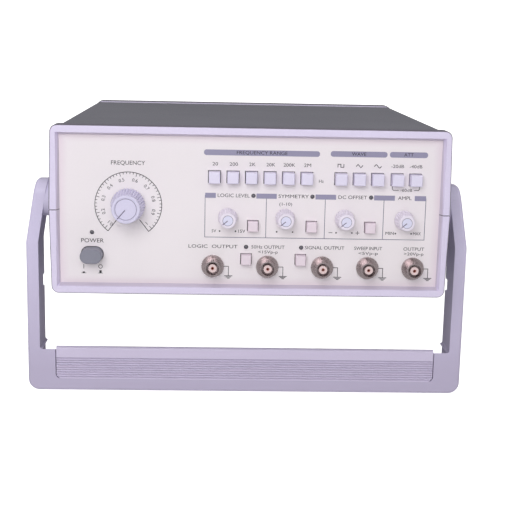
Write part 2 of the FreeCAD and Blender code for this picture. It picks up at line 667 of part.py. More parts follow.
def back_panel():
    """The back plate, with a cut-out for the mains inlet and a row of vent slots."""
    body = new_body("rear_panel")
    plate = new_sketch(body, "Plate", "XZ_Plane")
    rectangle(plate, "sizes.back_panel_width", "sizes.back_panel_height")
    pad(body, plate, "sizes.panel_thickness")
    cuts = new_sketch(body, "CutOuts", "XZ_Plane")
    shapes = [rectangle_corners(-size["inlet_place"], size["inlet_row"], size["inlet_width"],
                                size["inlet_height"])]
    for index in range(14):
        across = -size["back_vent_place"] + (index - 6.5) * size["back_vent_pitch"]
        shapes.append(rectangle_corners(across, size["back_vent_row"], size["back_vent_width"],
                                        size["back_vent_height"]))
    polygons(cuts, shapes)
    for across in inlet_screw_spots:
        place = Vector(across - size["inlet_place"], size["inlet_row"], 0)
        cuts.addGeometry(Part.Circle(place, UP, size["screw_radius"]))
    pocket(body, cuts, "sizes.panel_thickness")
    return keep(body, "rear_panel", at(depth=back_face - size["back_recess"],
                                       turn=HALF_TURN_ABOUT_Z))


back_panel()


def mains_inlet():
    """A chassis inlet with a deep socket for the lead and a slot below it for the fuse drawer."""
    body = new_body("mains_inlet")
    flange = new_sketch(body, "Flange", "XZ_Plane")
    outline(flange, rectangle_corners(0, 0, size["inlet_flange_width"],
                                      size["inlet_flange_height"]), [size["inlet_corner"]] * 4)
    pad(body, flange, "sizes.inlet_flange")
    shell = new_sketch(body, "Shell", "XZ_Plane")
    rectangle(shell, "sizes.inlet_width", "sizes.inlet_height")
    pad(body, shell, "sizes.inlet_depth")
    mouth = new_sketch(body, "Mouth", "XZ_Plane", 0, size["mouth_row"])
    side = size["mouth_width"] / 2
    rise = size["mouth_height"] / 2
    bevel = size["mouth_chamfer"]
    outline(mouth, [(-side, -rise), (side, -rise), (side, rise - bevel), (side - bevel, rise),
                    (bevel - side, rise), (-side, rise - bevel)])
    pocket(body, mouth, "sizes.mouth_depth")
    drawer = new_sketch(body, "DrawerSlot", "XZ_Plane", 0, size["drawer_row"])
    rectangle(drawer, "sizes.drawer_width", "sizes.drawer_height")
    pocket(body, drawer, "sizes.drawer_depth")
    details = new_sketch(body, "PinSlotsAndScrewHoles", "XZ_Plane")
    polygons(details, [rectangle_corners(across, up, size["pin_width"], size["pin_height"])
                       for across, up in pin_spots])
    for across in inlet_screw_spots:
        details.addGeometry(Part.Circle(Vector(across, 0, 0), UP, size["screw_radius"]))
    pocket(body, details, "sizes.inlet_depth")
    return keep(body, "mains_inlet", inlet_place)


mains_inlet()
pin = block(size["pin_width"], size["pin_length"], size["pin_height"], start=size["pin_setback"])
group("inlet_pins", pin, [inlet_place.multiply(at(across, 0, up)) for across, up in pin_spots])
pull = size["drawer_pull"]
drawer = block(size["drawer_width"], size["drawer_depth"] - 1.0, size["drawer_height"],
               up=size["drawer_row"])
drawer = drawer.fuse(block(size["drawer_width"] - 4.0, pull, pull, start=-pull,
                           up=size["drawer_row"] + 2.0)).removeSplitter()
group("fuse_drawer", drawer, [inlet_place])


def screw(head, shank_length, shank):
    """A pan-head screw that points inwards, with a slot across its head."""
    rise = size["head_height"]
    solid = Part.makeCylinder(head, rise, Vector(0, -rise, 0), INWARD)
    solid = solid.fuse(Part.makeCylinder(shank, shank_length, Vector(0, 0, 0), INWARD))
    slot = block(2 * head, size["driver_slot"], size["driver_slot"], start=-rise)
    return solid.removeSplitter().cut(slot)


group("inlet_screws", screw(size["screw_head"], size["inlet_screw_length"],
                            size["screw_radius"]),
      [inlet_place.multiply(at(across)) for across in inlet_screw_spots])

# ---------------------------------------------------------------- feet and case screws
foot_radius = size["foot_radius"]
foot_height = size["foot_height"]
foot_floor = size["foot_floor"]
head_room = size["screw_head"] + size["head_clearance"]
foot = turned([(size["screw_radius"], 0), (foot_radius, 0),
               (foot_radius - size["foot_taper"], foot_height), (head_room, foot_height),
               (head_room, foot_floor), (size["screw_radius"], foot_floor)])
foot_turn = Rotation(RIGHT, -90)
underside = -size["cover_height"]
foot_places = [at(across, size["bezel_depth"] + depth, underside, foot_turn)
               for across in (-size["post_across"], size["post_across"])
               for depth in (size["front_post"], size["back_post"])]
group("rubber_feet", foot, foot_places)
case_screw = screw(size["screw_head"], size["cover_height"] + size["screw_engagement"],
                   size["screw_radius"])
case_screw.Placement = at(0, foot_floor, 0, Rotation(RIGHT, 180))
group("case_screws", case_screw, foot_places)


# ---------------------------------------------------------------- handle
def handle_frame():
    """The bail: two arms that flare from the hubs, and a bar with a tongue for the grip."""
    body = new_body("handle_frame")
    top = size["hub_radius"]
    knee = -size["arm_knee"]
    floor = -size["bar_bottom"]
    seat = -size["grip_bottom"]
    block_top = -size["block_top"]
    tongue = -size["tongue_top"]
    saddle = size["grip_half_length"] + size["grip_slot_gap"]
    neck = saddle - size["neck_length"]
    half = size["arm_width"] / 2
    right_side = [(size["arm_outside"], floor), (size["arm_outside"], knee),
                  (size["arm_top_outside"], top + 1), (size["arm_top_inside"], top + 1),
                  (size["arm_inside"], knee), (size["arm_inside"], block_top),
                  (saddle, block_top), (saddle, seat), (neck, seat), (neck, tongue)]
    right_radii = [size["frame_corner"], 12.0, 0, 0, 12.0, size["inside_corner"], 0.8, 3.4,
                   0, 1.0]
    left_side = [(-across, up) for across, up in reversed(right_side)]
    front = new_sketch(body, "FrontOutline", "XZ_Plane")
    outline(front, right_side + left_side, right_radii + list(reversed(right_radii)))
    pad(body, front, "sizes.arm_width", both_ways=True)
    corner = new_sketch(body, "RoundArmEnds", "YZ_Plane")
    beyond = half + 5.0
    shoulder = size["arm_end_round"]
    outline(corner, [(-half, 0), (-half, top), (half, top), (half, 0), (beyond, 0),
                     (beyond, beyond), (-beyond, beyond), (-beyond, 0)],
            [0, shoulder, shoulder, 0, 0, 0, 0, 0])
    pocket(body, corner, "2 * sizes.arm_outside", both_ways=True)
    soften(body, "sizes.bar_edge_round", lambda edge: near(edge.BoundBox.ZMax, floor)
           and edge.BoundBox.XLength > size["arm_outside"])
    fall = new_sketch(body, "BlockTopFall", "YZ_Plane")
    polygons(fall, [[(-half, block_top), (half, block_top - size["top_fall"]),
                     (half, block_top)]])
    pocket(body, fall, "2 * sizes.arm_inside", both_ways=True)
    cheek = (half - size["tongue_width"] / 2)
    sides = new_sketch(body, "TongueSides", "YZ_Plane")
    polygons(sides, [[(sign * half * 1.2, seat), (sign * (half - cheek), seat),
                      (sign * (half - cheek), tongue + 1), (sign * half * 1.2, tongue + 1)]
                     for sign in (-1, 1)])
    pocket(body, sides, "%f" % (2 * neck + 1), both_ways=True)
    for sign in (-1, 1):
        boss = new_sketch(body, "PivotBoss", "YZ_Plane", out=sign * size["boss_face"])
        circle(boss, "sizes.hub_radius")
        pad(body, boss, "sizes.pin_end - sizes.boss_face", inwards=sign < 0)
    bore = new_sketch(body, "PivotBore", "YZ_Plane")
    circle(bore, "sizes.pin_radius + sizes.pin_gap")
    pocket(body, bore, "2 * sizes.arm_outside", both_ways=True)
    for sign in (-1, 1):
        recess = new_sketch(body, "ScrewRecess", "YZ_Plane", out=sign * size["cap_screw_seat"])
        circle(recess, "sizes.cap_screw_radius + sizes.cap_screw_gap")
        pocket(body, recess, "sizes.arm_outside - sizes.cap_screw_seat", reverse=sign > 0)
    notch = new_sketch(body, "CatchNotches", "XZ_Plane", out=-half)
    inner = size["arm_inside"]
    low = -size["catch_bottom"]
    high = -size["catch_top"]
    polygons(notch, [[(sign * (inner - 1), low), (sign * (inner + 2), low),
                      (sign * (inner + 2), high), (sign * (inner - 1), high)]
                     for sign in (-1, 1)])
    pocket(body, notch, "sizes.catch_depth", reverse=True)
    return keep(body, "handle_frame", at(depth=size["pivot_depth"]))


def handle_grip():
    """The grip: a channel that drops over the bar's tongue, with finger ribs on both sides and a
    top that falls away to the back."""
    body = new_body("handle_grip")
    top = -size["bar_top"]
    seat = -size["grip_bottom"]
    length = size["grip_half_length"]
    half = size["arm_width"] / 2
    corner = size["grip_corner"]
    front = new_sketch(body, "GripOutline", "XZ_Plane")
    outline(front, [(-length, seat), (length, seat), (length, top), (-length, top)],
            [corner, corner, 1.0, 1.0])
    pad(body, front, "sizes.arm_width", both_ways=True)
    fall = new_sketch(body, "TopFall", "YZ_Plane")
    polygons(fall, [[(-half, top), (half, top - size["top_fall"]), (half, top)]])
    pocket(body, fall, "sizes.arm_outside * 2", both_ways=True)
    soften(body, "sizes.grip_edge_round", lambda edge: near(edge.BoundBox.ZMax, top)
           and near(edge.BoundBox.ZMin, top) and edge.BoundBox.XLength > length)
    slot = new_sketch(body, "TongueSlot", "XZ_Plane")
    neck = size["grip_half_length"] + size["grip_slot_gap"] - size["neck_length"]
    tongue = -size["tongue_top"]
    outline(slot, [(-neck, seat - 1), (neck, seat - 1), (neck, tongue), (-neck, tongue)])
    pocket(body, slot, "sizes.tongue_width", both_ways=True)
    ribs = new_sketch(body, "RibGrooves", "YZ_Plane")
    mouth = half + 0.1
    floor = half - size["rib_depth"]
    flare = size["rib_half_width"]
    levels = [-size["first_rib"] - index * size["rib_pitch"] for index in range(9)]
    polygons(ribs, [[(sign * mouth, level + flare), (sign * floor, level),
                     (sign * mouth, level - flare)] for level in levels for sign in (-1, 1)])
    pocket(body, ribs, "sizes.arm_outside * 2", both_ways=True)
    return keep(body, "handle_grip", at(depth=size["pivot_depth"]))


handle_frame()
handle_grip()
inner_wall = size["cover_width"] / 2 - size["cover_wall"]
washer_face = inner_wall - size["washer_gap"]
washer_back = washer_face - size["washer_thickness"]
thread = size["cap_screw_thread"]
hub = turned([(thread, washer_back), (size["washer_radius"], washer_back),
              (size["washer_radius"], washer_face), (size["hub_radius"], washer_face),
              (size["hub_radius"], size["hub_face"]), (size["pin_radius"], size["hub_face"]),
              (size["pin_radius"], size["pin_end"]), (thread, size["pin_end"])], RIGHT)
pivot_places = [at(depth=size["pivot_depth"]),
                at(depth=size["pivot_depth"], turn=HALF_TURN_ABOUT_Z)]
group("handle_hubs", hub, pivot_places)
cap_screw = screw(size["cap_screw_radius"], size["cap_screw_length"], thread)
cap_screw.Placement = at(size["pin_end"], 0, 0, Rotation(UP, 90))
group("handle_screws", cap_screw, pivot_places)

# ---------------------------------------------------------------- the lean on the handle
doc.recompute()
bar_round = size["bar_edge_round"]
edge_round = size["edge_round"]
bar_heel = Vector(0, size["pivot_depth"] + size["arm_width"] / 2 - bar_round,
                  -size["bar_bottom"] + bar_round)
back_heel = Vector(0, back_face - edge_round, -size["back_height"] + edge_round)
across_heels = back_heel - bar_heel
lean = math.degrees(math.atan2(across_heels.z, across_heels.y)
                    + math.asin((bar_round - edge_round) / across_heels.Length))
stand = Placement(Vector(0, 0, 0), Rotation(RIGHT, -lean))
whole = FreeCAD.BoundBox()
for node in nodes:
    shape = node.Shape.copy()
    shape.Placement = stand.multiply(shape.Placement)
    whole.add(shape.optimalBoundingBox(False))
stand.Base = Vector(0, -whole.Center.y, -whole.ZMin)
for node in nodes:
    node.Placement = stand.multiply(node.Placement)
doc.recompute()

# ---------------------------------------------------------------- checks and export
for item in doc.Objects:
    if "Invalid" in item.State or "Error" in item.State:
        raise ValueError("%s failed: %s" % (item.Name, item.State))
for node in nodes:
    if node.Shape.isNull() or not node.Shape.isValid():
        raise ValueError("%s has no valid shape" % node.Label)
os.makedirs("parts", exist_ok=True)
for node in nodes:
    node.Shape.exportStep("parts/%s.step" % node.Label)
print("%d pieces, leaning back %.2f degrees" % (len(nodes), lean))
print("whole: %.1f x %.1f x %.1f mm" % (whole.XLength, whole.YLength, whole.ZLength))
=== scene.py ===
# %% [markdown]
# # A bench function generator, dressed for its picture
#
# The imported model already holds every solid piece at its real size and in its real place, so this
# lesson adds what a solid model can't hold: the finish of each plastic and metal, the ink on the
# control panel, the paint on the knobs, and light. Nothing here moves or resizes a solid piece.

# %% Load the fixed frame
import json
import math

import bmesh
import bpy
from mathutils import Matrix, Vector


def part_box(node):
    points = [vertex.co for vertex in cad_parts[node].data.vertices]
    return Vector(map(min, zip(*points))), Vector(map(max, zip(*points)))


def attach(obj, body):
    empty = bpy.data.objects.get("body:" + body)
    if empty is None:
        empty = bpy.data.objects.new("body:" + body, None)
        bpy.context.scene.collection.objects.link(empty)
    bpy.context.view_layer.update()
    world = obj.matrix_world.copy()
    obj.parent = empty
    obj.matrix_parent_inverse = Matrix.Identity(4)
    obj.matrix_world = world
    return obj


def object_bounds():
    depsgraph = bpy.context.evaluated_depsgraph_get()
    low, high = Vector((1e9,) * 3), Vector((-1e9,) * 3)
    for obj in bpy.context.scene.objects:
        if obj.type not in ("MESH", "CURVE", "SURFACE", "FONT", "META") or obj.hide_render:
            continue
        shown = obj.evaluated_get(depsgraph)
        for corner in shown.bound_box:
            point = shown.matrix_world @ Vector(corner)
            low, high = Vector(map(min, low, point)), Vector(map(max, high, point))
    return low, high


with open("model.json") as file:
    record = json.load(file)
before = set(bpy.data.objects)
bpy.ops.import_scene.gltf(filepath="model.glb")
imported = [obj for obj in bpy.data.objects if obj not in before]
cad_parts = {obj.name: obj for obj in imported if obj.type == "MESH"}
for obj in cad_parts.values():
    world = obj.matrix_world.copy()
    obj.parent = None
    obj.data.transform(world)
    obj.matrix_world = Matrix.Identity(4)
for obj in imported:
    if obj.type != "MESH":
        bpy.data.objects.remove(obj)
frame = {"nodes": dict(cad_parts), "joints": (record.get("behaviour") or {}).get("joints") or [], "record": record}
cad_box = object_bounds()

# %% [markdown]
# ## The case has its own axes
#
# The instrument leans back on its handle, so nothing on its panel is level. Drawing on a tilted
# plane would be tiresome. Instead the lesson reads the lean from the joints: every push button
# slides straight into the case, and the handle's hinge is a known depth behind the front. From
# those two facts comes one matrix that takes case millimetres to the world.

# %% Build the case and panel matrices
MM = 0.001
HINGE_DEPTH = 60.0
PANEL_RECESS = 5.0

joints = {joint["name"]: joint for joint in frame["joints"]}
inward = Vector(joints["power_button_press"]["axis"]).normalized()
across = Vector((1.0, 0.0, 0.0))
upward = across.cross(inward)
hinge = Vector(joints["handle_swing"]["pos_m"])
case_origin = hinge - inward * HINGE_DEPTH * MM


def axes_matrix(first, second, third, origin):
    """A matrix that takes millimetres along three directions to world metres."""
    columns = Matrix((first, second, third)).transposed().to_4x4()
    return Matrix.Translation(origin) @ columns @ Matrix.Scale(MM, 4)


case_axes = axes_matrix(across, inward, upward, case_origin)
panel_axes = axes_matrix(across, upward, -inward, case_origin + inward * PANEL_RECESS * MM)
lean = math.degrees(math.asin(-inward.z))
print("the case leans back %.1f degrees" % lean)

# %% [markdown]
# ## The camera
#
# The camera stands a little left of the middle and above the case, and looks down its length.
# Its place and its three small turns are given against the case's own axes, so the view keeps
# the same perspective whatever the lean is.


# %% Place the camera
CAMERA_PLACE = Vector((-22.97, -734.5, 118.0))
CAMERA_PITCH = 11.287
CAMERA_YAW = 2.062
CAMERA_ROLL = 1.202
SENSOR_WIDTH = 36.0
FOCAL_LENGTH = 78.28


def link_object(name, data):
    """Make an object from camera, lamp, text or mesh data and put it in the scene."""
    thing = bpy.data.objects.new(name, data)
    bpy.context.scene.collection.objects.link(thing)
    return thing


camera_turn = (Matrix.Rotation(math.radians(CAMERA_ROLL), 3, "Y")
               @ Matrix.Rotation(math.radians(CAMERA_PITCH), 3, "X")
               @ Matrix.Rotation(math.radians(CAMERA_YAW), 3, "Z"))
case_turn = Matrix((across, inward, upward)).transposed()
look_right, look_ahead, look_up = [case_turn @ row for row in camera_turn]
camera_data = bpy.data.cameras.new("view")
camera_data.sensor_width = SENSOR_WIDTH
camera_data.lens = FOCAL_LENGTH
camera = link_object("view", camera_data)
camera.matrix_world = (Matrix.Translation(case_axes @ CAMERA_PLACE)
                       @ Matrix((look_right, look_up, -look_ahead)).transposed().to_4x4())
bpy.context.scene.camera = camera
print("camera at", [round(value, 3) for value in camera.matrix_world.translation])

# %% [markdown]
# ## Helpers for shader groups
#
# A shader group is drawn by adding nodes and linking their sockets. These short functions say
# that once, so the groups below read as what they work out. Wherever a value is asked for, it may
# be a socket, which is linked, or a plain number, which is set.


# %% Helpers for groups
def new_group(name, inputs, outputs):
    """An empty shader group with typed sockets, and its two end nodes."""
    group = bpy.data.node_groups.new(name, "ShaderNodeTree")
    for socket, kind in inputs:
        group.interface.new_socket(socket, in_out="INPUT", socket_type=kind)
    for socket, kind in outputs:
        group.interface.new_socket(socket, in_out="OUTPUT", socket_type=kind)
    start = group.nodes.new("NodeGroupInput")
    end = group.nodes.new("NodeGroupOutput")
    return group, start, end


def floats(*names):
    return [(name, "NodeSocketFloat") for name in names]


def feed(group, item, socket):
    """Set a socket to a number, or link another socket to it."""
    if isinstance(item, (int, float)):
        socket.default_value = item
    else:
        group.links.new(item, socket)


def own_coordinates(group):
    """Where a point lies on the piece itself, in metres, whatever pose the piece is in."""
    return group.nodes.new("ShaderNodeTexCoord").outputs["Object"]


def noise(group, source, scale, detail):
    node = group.nodes.new("ShaderNodeTexNoise")
    node.inputs["Detail"].default_value = detail
    feed(group, source, node.inputs["Vector"])
    feed(group, scale, node.inputs["Scale"])
    return node.outputs["Fac"]


def remap(group, value, low, high):
    """Stretch noise, which lies mostly between 0.3 and 0.7, between two values."""
    node = group.nodes.new("ShaderNodeMapRange")
    for name, item in (("Value", value), ("From Min", 0.3), ("From Max", 0.7), ("To Min", low),
                       ("To Max", high)):
        feed(group, item, node.inputs[name])
    return node.outputs["Result"]


def mix_colours(group, factor, first, second):
    """One Mix node, which keeps its colours in inputs 6 and 7 and output 2."""
    node = group.nodes.new("ShaderNodeMix")
    node.data_type = "RGBA"
    feed(group, factor, node.inputs["Factor"])
    feed(group, first, node.inputs[6])
    feed(group, second, node.inputs[7])
    return node.outputs[2]


def arithmetic(group, operation, *items):
    """One Math node."""
    node = group.nodes.new("ShaderNodeMath")
    node.operation = operation
    for index, item in enumerate(items):
        feed(group, item, node.inputs[index])
    return node.outputs[0]


def along(group, source, direction):
    """How far a point lies from the case's origin along one direction, in millimetres."""
    node = group.nodes.new("ShaderNodeVectorMath")
    node.operation = "DOT_PRODUCT"
    feed(group, source, node.inputs[0])
    node.inputs[1].default_value = direction
    start = arithmetic(group, "SUBTRACT", node.outputs["Value"], case_origin.dot(direction))
    return arithmetic(group, "DIVIDE", start, MM)


print("distances are measured from", [round(value, 3) for value in case_origin])

# %% [markdown]
# ## One group for every moulded surface
#
# Moulded plastic is never one flat colour. It has a fine grain from the mould, a slow drift of
# tone, and a roughness that varies with both. All the plastics share that structure and differ
# only in scale and strength, so it is a node group with named inputs, built once.

# %% The grain group
DRIFT_SCALE = 14.0
SPECKLE_SCALE = 900.0

grain, grain_in, grain_out = new_group(
    "mould_grain",
    [("Colour", "NodeSocketColor"), ("Worn Colour", "NodeSocketColor")]
    + floats("Grain Scale", "Smooth", "Rough"),
    [("Colour", "NodeSocketColor")] + floats("Roughness", "Height"))
place = own_coordinates(grain)
fine = noise(grain, place, grain_in.outputs["Grain Scale"], 3.0)
drift = remap(grain, noise(grain, place, DRIFT_SCALE, 2.0), 0.0, 0.5)
speckle = remap(grain, noise(grain, place, SPECKLE_SCALE, 1.0), 0.0, 0.5)
colour = mix_colours(grain, arithmetic(grain, "ADD", drift, speckle), grain_in.outputs["Colour"],
                     grain_in.outputs["Worn Colour"])
roughness = remap(grain, fine, grain_in.outputs["Smooth"], grain_in.outputs["Rough"])
grain.links.new(colour, grain_out.inputs["Colour"])
grain.links.new(roughness, grain_out.inputs["Roughness"])
grain.links.new(fine, grain_out.inputs["Height"])
print("group", grain.name, "has", len(grain.nodes), "nodes")

# %% [markdown]
# ## A shade that follows a rounded frame
#
# The bezels are lavender in front and dark on their outer faces, and the panel carries painted
# shade where it meets the recess. Both follow a rounded rectangle seen along the case, whose sides lean
# in by the draft of the mould. The group gives the signed distance to that outline, in
# millimetres, stretched between two limits: nothing at Near, and the whole tint at Far.

# %% The edge group
edge, edge_in, edge_out = new_group(
    "edge_shade", floats("Half Width", "Half Height", "Corner", "Draft", "Near", "Far"),
    floats("Factor"))
place = own_coordinates(edge)
sideways = arithmetic(edge, "ABSOLUTE", along(edge, place, across))
height = arithmetic(edge, "ABSOLUTE", along(edge, place, upward))
leaning = arithmetic(edge, "MULTIPLY", height, edge_in.outputs["Draft"])
past = []
for reach, name in ((arithmetic(edge, "ADD", sideways, leaning), "Half Width"),
                    (height, "Half Height")):
    flat = arithmetic(edge, "SUBTRACT", edge_in.outputs[name], edge_in.outputs["Corner"])
    past.append(arithmetic(edge, "SUBTRACT", reach, flat))
squares = [arithmetic(edge, "POWER", arithmetic(edge, "MAXIMUM", item, 0.0), 2.0) for item in past]
round_part = arithmetic(edge, "SQRT", arithmetic(edge, "ADD", *squares))
flat_part = arithmetic(edge, "MINIMUM", arithmetic(edge, "MAXIMUM", *past), 0.0)
distance = arithmetic(edge, "SUBTRACT", arithmetic(edge, "ADD", round_part, flat_part),
                      edge_in.outputs["Corner"])
stretch = edge.nodes.new("ShaderNodeMapRange")
edge.links.new(distance, stretch.inputs["Value"])
edge.links.new(edge_in.outputs["Near"], stretch.inputs["From Min"])
edge.links.new(edge_in.outputs["Far"], stretch.inputs["From Max"])
edge.links.new(stretch.outputs["Result"], edge_out.inputs["Factor"])
print("group", edge.name, "has", len(edge.nodes), "nodes")

# %% [markdown]
# ## Painted shade in the finger grooves
#
# The grip has nine grooves at an even pitch. A repeating band of painted shade darkens each one,
# where shade falls into the groove. The handle is square to the case at rest, so depth below the
# hinge is all the group needs to know. Count is the number of steps after the first groove.

# %% The groove group
grooves, grooves_in, grooves_out = new_group(
    "groove_shade", floats("First", "Pitch", "Count", "Half Width"), floats("Factor"))
drop = arithmetic(grooves, "MULTIPLY", along(grooves, own_coordinates(grooves), upward), -1.0)
steps = arithmetic(grooves, "DIVIDE",
                   arithmetic(grooves, "SUBTRACT", drop, grooves_in.outputs["First"]),
                   grooves_in.outputs["Pitch"])
nearest = arithmetic(grooves, "MAXIMUM", arithmetic(grooves, "ROUND", steps), 0.0)
nearest = arithmetic(grooves, "MINIMUM", nearest, grooves_in.outputs["Count"])
gap = arithmetic(grooves, "ABSOLUTE", arithmetic(grooves, "SUBTRACT", steps, nearest))
gap = arithmetic(grooves, "MULTIPLY", gap, grooves_in.outputs["Pitch"])
share = arithmetic(grooves, "DIVIDE", gap, grooves_in.outputs["Half Width"])
inside = arithmetic(grooves, "SUBTRACT", 1.0, arithmetic(grooves, "MINIMUM", share, 1.0))
grooves.links.new(inside, grooves_out.inputs["Factor"])
print("group", grooves.name, "has", len(grooves.nodes), "nodes")

# %% [markdown]
# ## How a finish is made
#
# Each plastic is one call. Colours are written as they look on screen, from 0 to 255, and turned
# to the linear values that the shader wants. The drift says how dark the tone goes where it
# wanders. Bump depth is in metres, so a tenth of a millimetre is already coarse. A metal is the
# same thing with a metallic shader.


# %% Makers of plastic and metal
METAL_DRIFT = 0.97


def linear(red, green, blue):
    """Screen colour, 0 to 255, to a linear RGBA tuple."""
    def one(value):
        value = value / 255.0
        return value / 12.92 if value <= 0.04045 else ((value + 0.055) / 1.055) ** 2.4
    return (one(red), one(green), one(blue), 1.0)


def shade(colour, factor):
    return tuple(part * factor for part in colour[:3]) + (1.0,)


def plastic(name, colour, drift=0.93, grain_scale=700.0, smooth=0.42, rough=0.55, depth=0.00004,
            gloss=0.5, bump=0.35):
    """A moulded plastic or paint: the grain group feeding a Principled shader."""
    material = bpy.data.materials.new(name)
    material.use_nodes = True
    tree = material.node_tree
    shader = tree.nodes["Principled BSDF"]
    shader.inputs["Specular IOR Level"].default_value = gloss
    group = tree.nodes.new("ShaderNodeGroup")
    group.node_tree = grain
    group.inputs["Colour"].default_value = colour
    group.inputs["Worn Colour"].default_value = shade(colour, drift)
    group.inputs["Grain Scale"].default_value = grain_scale
    group.inputs["Smooth"].default_value = smooth
    group.inputs["Rough"].default_value = rough
    relief = tree.nodes.new("ShaderNodeBump")
    relief.inputs["Strength"].default_value = bump
    relief.inputs["Distance"].default_value = depth
    tree.links.new(group.outputs["Colour"], shader.inputs["Base Color"])
    tree.links.new(group.outputs["Roughness"], shader.inputs["Roughness"])
    tree.links.new(group.outputs["Height"], relief.inputs["Height"])
    tree.links.new(relief.outputs["Normal"], shader.inputs["Normal"])
    return material


def metal(name, colour, smooth, rough, grain_scale=1200.0, depth=0.00002):
    """The same structure with a metallic shader, for plating and bare screws."""
    material = plastic(name, colour, METAL_DRIFT, grain_scale, smooth, rough, depth)
    material.node_tree.nodes["Principled BSDF"].inputs["Metallic"].default_value = 1.0
    return material


print("mid grey on screen is", round(linear(128, 128, 128)[0], 3), "to the shader")

# %% [markdown]
# ## One finish for each slot
#
# The solid pieces come with material slots, named after what the real piece is made of. The
# table gives every slot its finish. The case covers and the rear plate have a coarser grain than
# the smooth control panel, and rubber has the roughest surface of all. The four finishes after
# the table are for pieces that share a slot with others and still look different.

# %% Finishes
finishes = {
    "bezel_plastic": plastic("bezel_plastic", linear(226, 217, 243)),
    "cover_plastic": plastic("cover_plastic", linear(127, 126, 136), drift=0.82,
                             grain_scale=1500.0, smooth=0.55, rough=0.75, depth=0.00012,
                             gloss=0.35, bump=0.6),
    "panel_face": plastic("panel_face", linear(238, 231, 235), drift=0.98, grain_scale=2500.0,
                          smooth=0.5, rough=0.6, depth=0.00001),
    "rear_plate": plastic("rear_plate", linear(104, 102, 109), drift=0.88, grain_scale=1800.0,
                          smooth=0.5, rough=0.7, depth=0.00008),
    "power_button_plastic": plastic("power_button_plastic", linear(136, 136, 150)),
    "button_plastic": plastic("button_plastic", linear(228, 222, 244), drift=0.96, smooth=0.35,
                              rough=0.45),
    "knob_plastic": plastic("knob_plastic", linear(218, 213, 238), drift=0.94, smooth=0.38,
                            rough=0.5),
    "socket_nickel": metal("socket_nickel", linear(180, 166, 168), smooth=0.24, rough=0.3,
                           grain_scale=500.0, depth=0.000001),
    "socket_insulator": plastic("socket_insulator", linear(232, 208, 208), drift=0.95, smooth=0.3,
                                rough=0.4),
    "contact_metal": metal("contact_metal", linear(176, 104, 92), smooth=0.25, rough=0.4),
    "screw_steel": metal("screw_steel", linear(180, 180, 184), smooth=0.28, rough=0.45),
    "lamp_lens": plastic("lamp_lens", linear(96, 94, 102), drift=0.9, smooth=0.3, rough=0.4),
    "circuit_board": plastic("circuit_board", linear(40, 110, 60), drift=0.85, smooth=0.3,
                             rough=0.45),
    "core_steel": metal("core_steel", linear(110, 110, 112), smooth=0.45, rough=0.65),
    "coil_wire": metal("coil_wire", linear(180, 110, 70), smooth=0.35, rough=0.5),
    "inlet_plastic": plastic("inlet_plastic", linear(34, 34, 36), drift=0.8, smooth=0.3,
                             rough=0.45),
    "foot_rubber": plastic("foot_rubber", linear(38, 38, 40), drift=0.8, grain_scale=1100.0,
                           smooth=0.7, rough=0.9, depth=0.0001, gloss=0.2),
    # The hub's darker tone is painted shade where it sits between the case and the arm.
    "hub_plastic": plastic("hub_plastic", linear(178, 172, 194), drift=0.92),
    "handle_plastic": plastic("handle_plastic", linear(222, 214, 243), drift=0.95),
    # The grip's colour is a shade darker than the handle's: painted shade, like the darkening down the arms.
    "grip_plastic": plastic("grip_plastic", linear(214, 204, 230), drift=0.95),
    "switch_plastic": plastic("switch_plastic", linear(40, 40, 42), drift=0.8),
    "control_housing": metal("control_housing", linear(170, 170, 172), smooth=0.35, rough=0.5),
    "standoff_plastic": plastic("standoff_plastic", linear(220, 220, 216), drift=0.95),
}
warm_button = plastic("button_plastic_warm", linear(232, 217, 228), drift=0.96, smooth=0.35,
                      rough=0.45)
small_knob_finish = plastic("knob_plastic_small", linear(236, 228, 242), drift=0.95, smooth=0.38,
                            rough=0.5)
blade_finish = metal("contact_metal_blades", linear(198, 192, 178), smooth=0.25, rough=0.4)
rear_bezel_finish = plastic("bezel_plastic_rear", linear(214, 207, 228))
print(len(finishes), "finishes for slots")

# %% [markdown]
# ## Tints that follow the shape
#
# A tint is a second colour mixed in by one of the mask groups. The front bezel takes three: its
# slope in towards the panel carries painted shade, its outer faces are dark, and the seam between
# its halves is a dark line. An outline is given by its half width, half height, corner and draft,
# and where the tint begins and is full by two distances from it. An outline of no height and great
# width turns the edge group into a plain measure of height above or below the seam. That serves for
# the seam itself and for the painted shade that darkens the handle down its arms.


# %% Tint the bezels, the panel, the handle and the grip
FRONT_OUTLINE = (135.0, 57.0, 5.0, 0.0228)
REAR_OUTLINE = (129.8, 58.5, 6.0, 0.0222)
SEAM_PLANE = (1000.0, 0.0, 0.0, 0.0)
OUTER_FACES = (-0.8, -0.3)
SLOPE_SHADE = (-5.0, -5.6)
PANEL_BORDER_SHADE = (-12.0, -6.4)
SEAM_LINE = (0.35, 0.15)
ARM_SHADE_FADE = (30.0, 125.0)
GRIP_GROOVE_SHADE = (116.6, 1.75, 8.0, 0.75)
RIM_DARK = linear(92, 86, 100)


def tint_where(material, group_tree, values, colour):
    """Mix a second colour into a finish where a mask group says so."""
    tree = material.node_tree
    shader = tree.nodes["Principled BSDF"]
    group = tree.nodes.new("ShaderNodeGroup")
    group.node_tree = group_tree
    for socket, value in zip(group.inputs, values):
        socket.default_value = value
    plain = shader.inputs["Base Color"].links[0].from_socket
    mixer = tree.nodes.new("ShaderNodeMix")
    mixer.data_type = "RGBA"
    mixer.inputs[7].default_value = colour
    tree.links.new(group.outputs[0], mixer.inputs["Factor"])
    tree.links.new(plain, mixer.inputs[6])
    tree.links.new(mixer.outputs[2], shader.inputs["Base Color"])
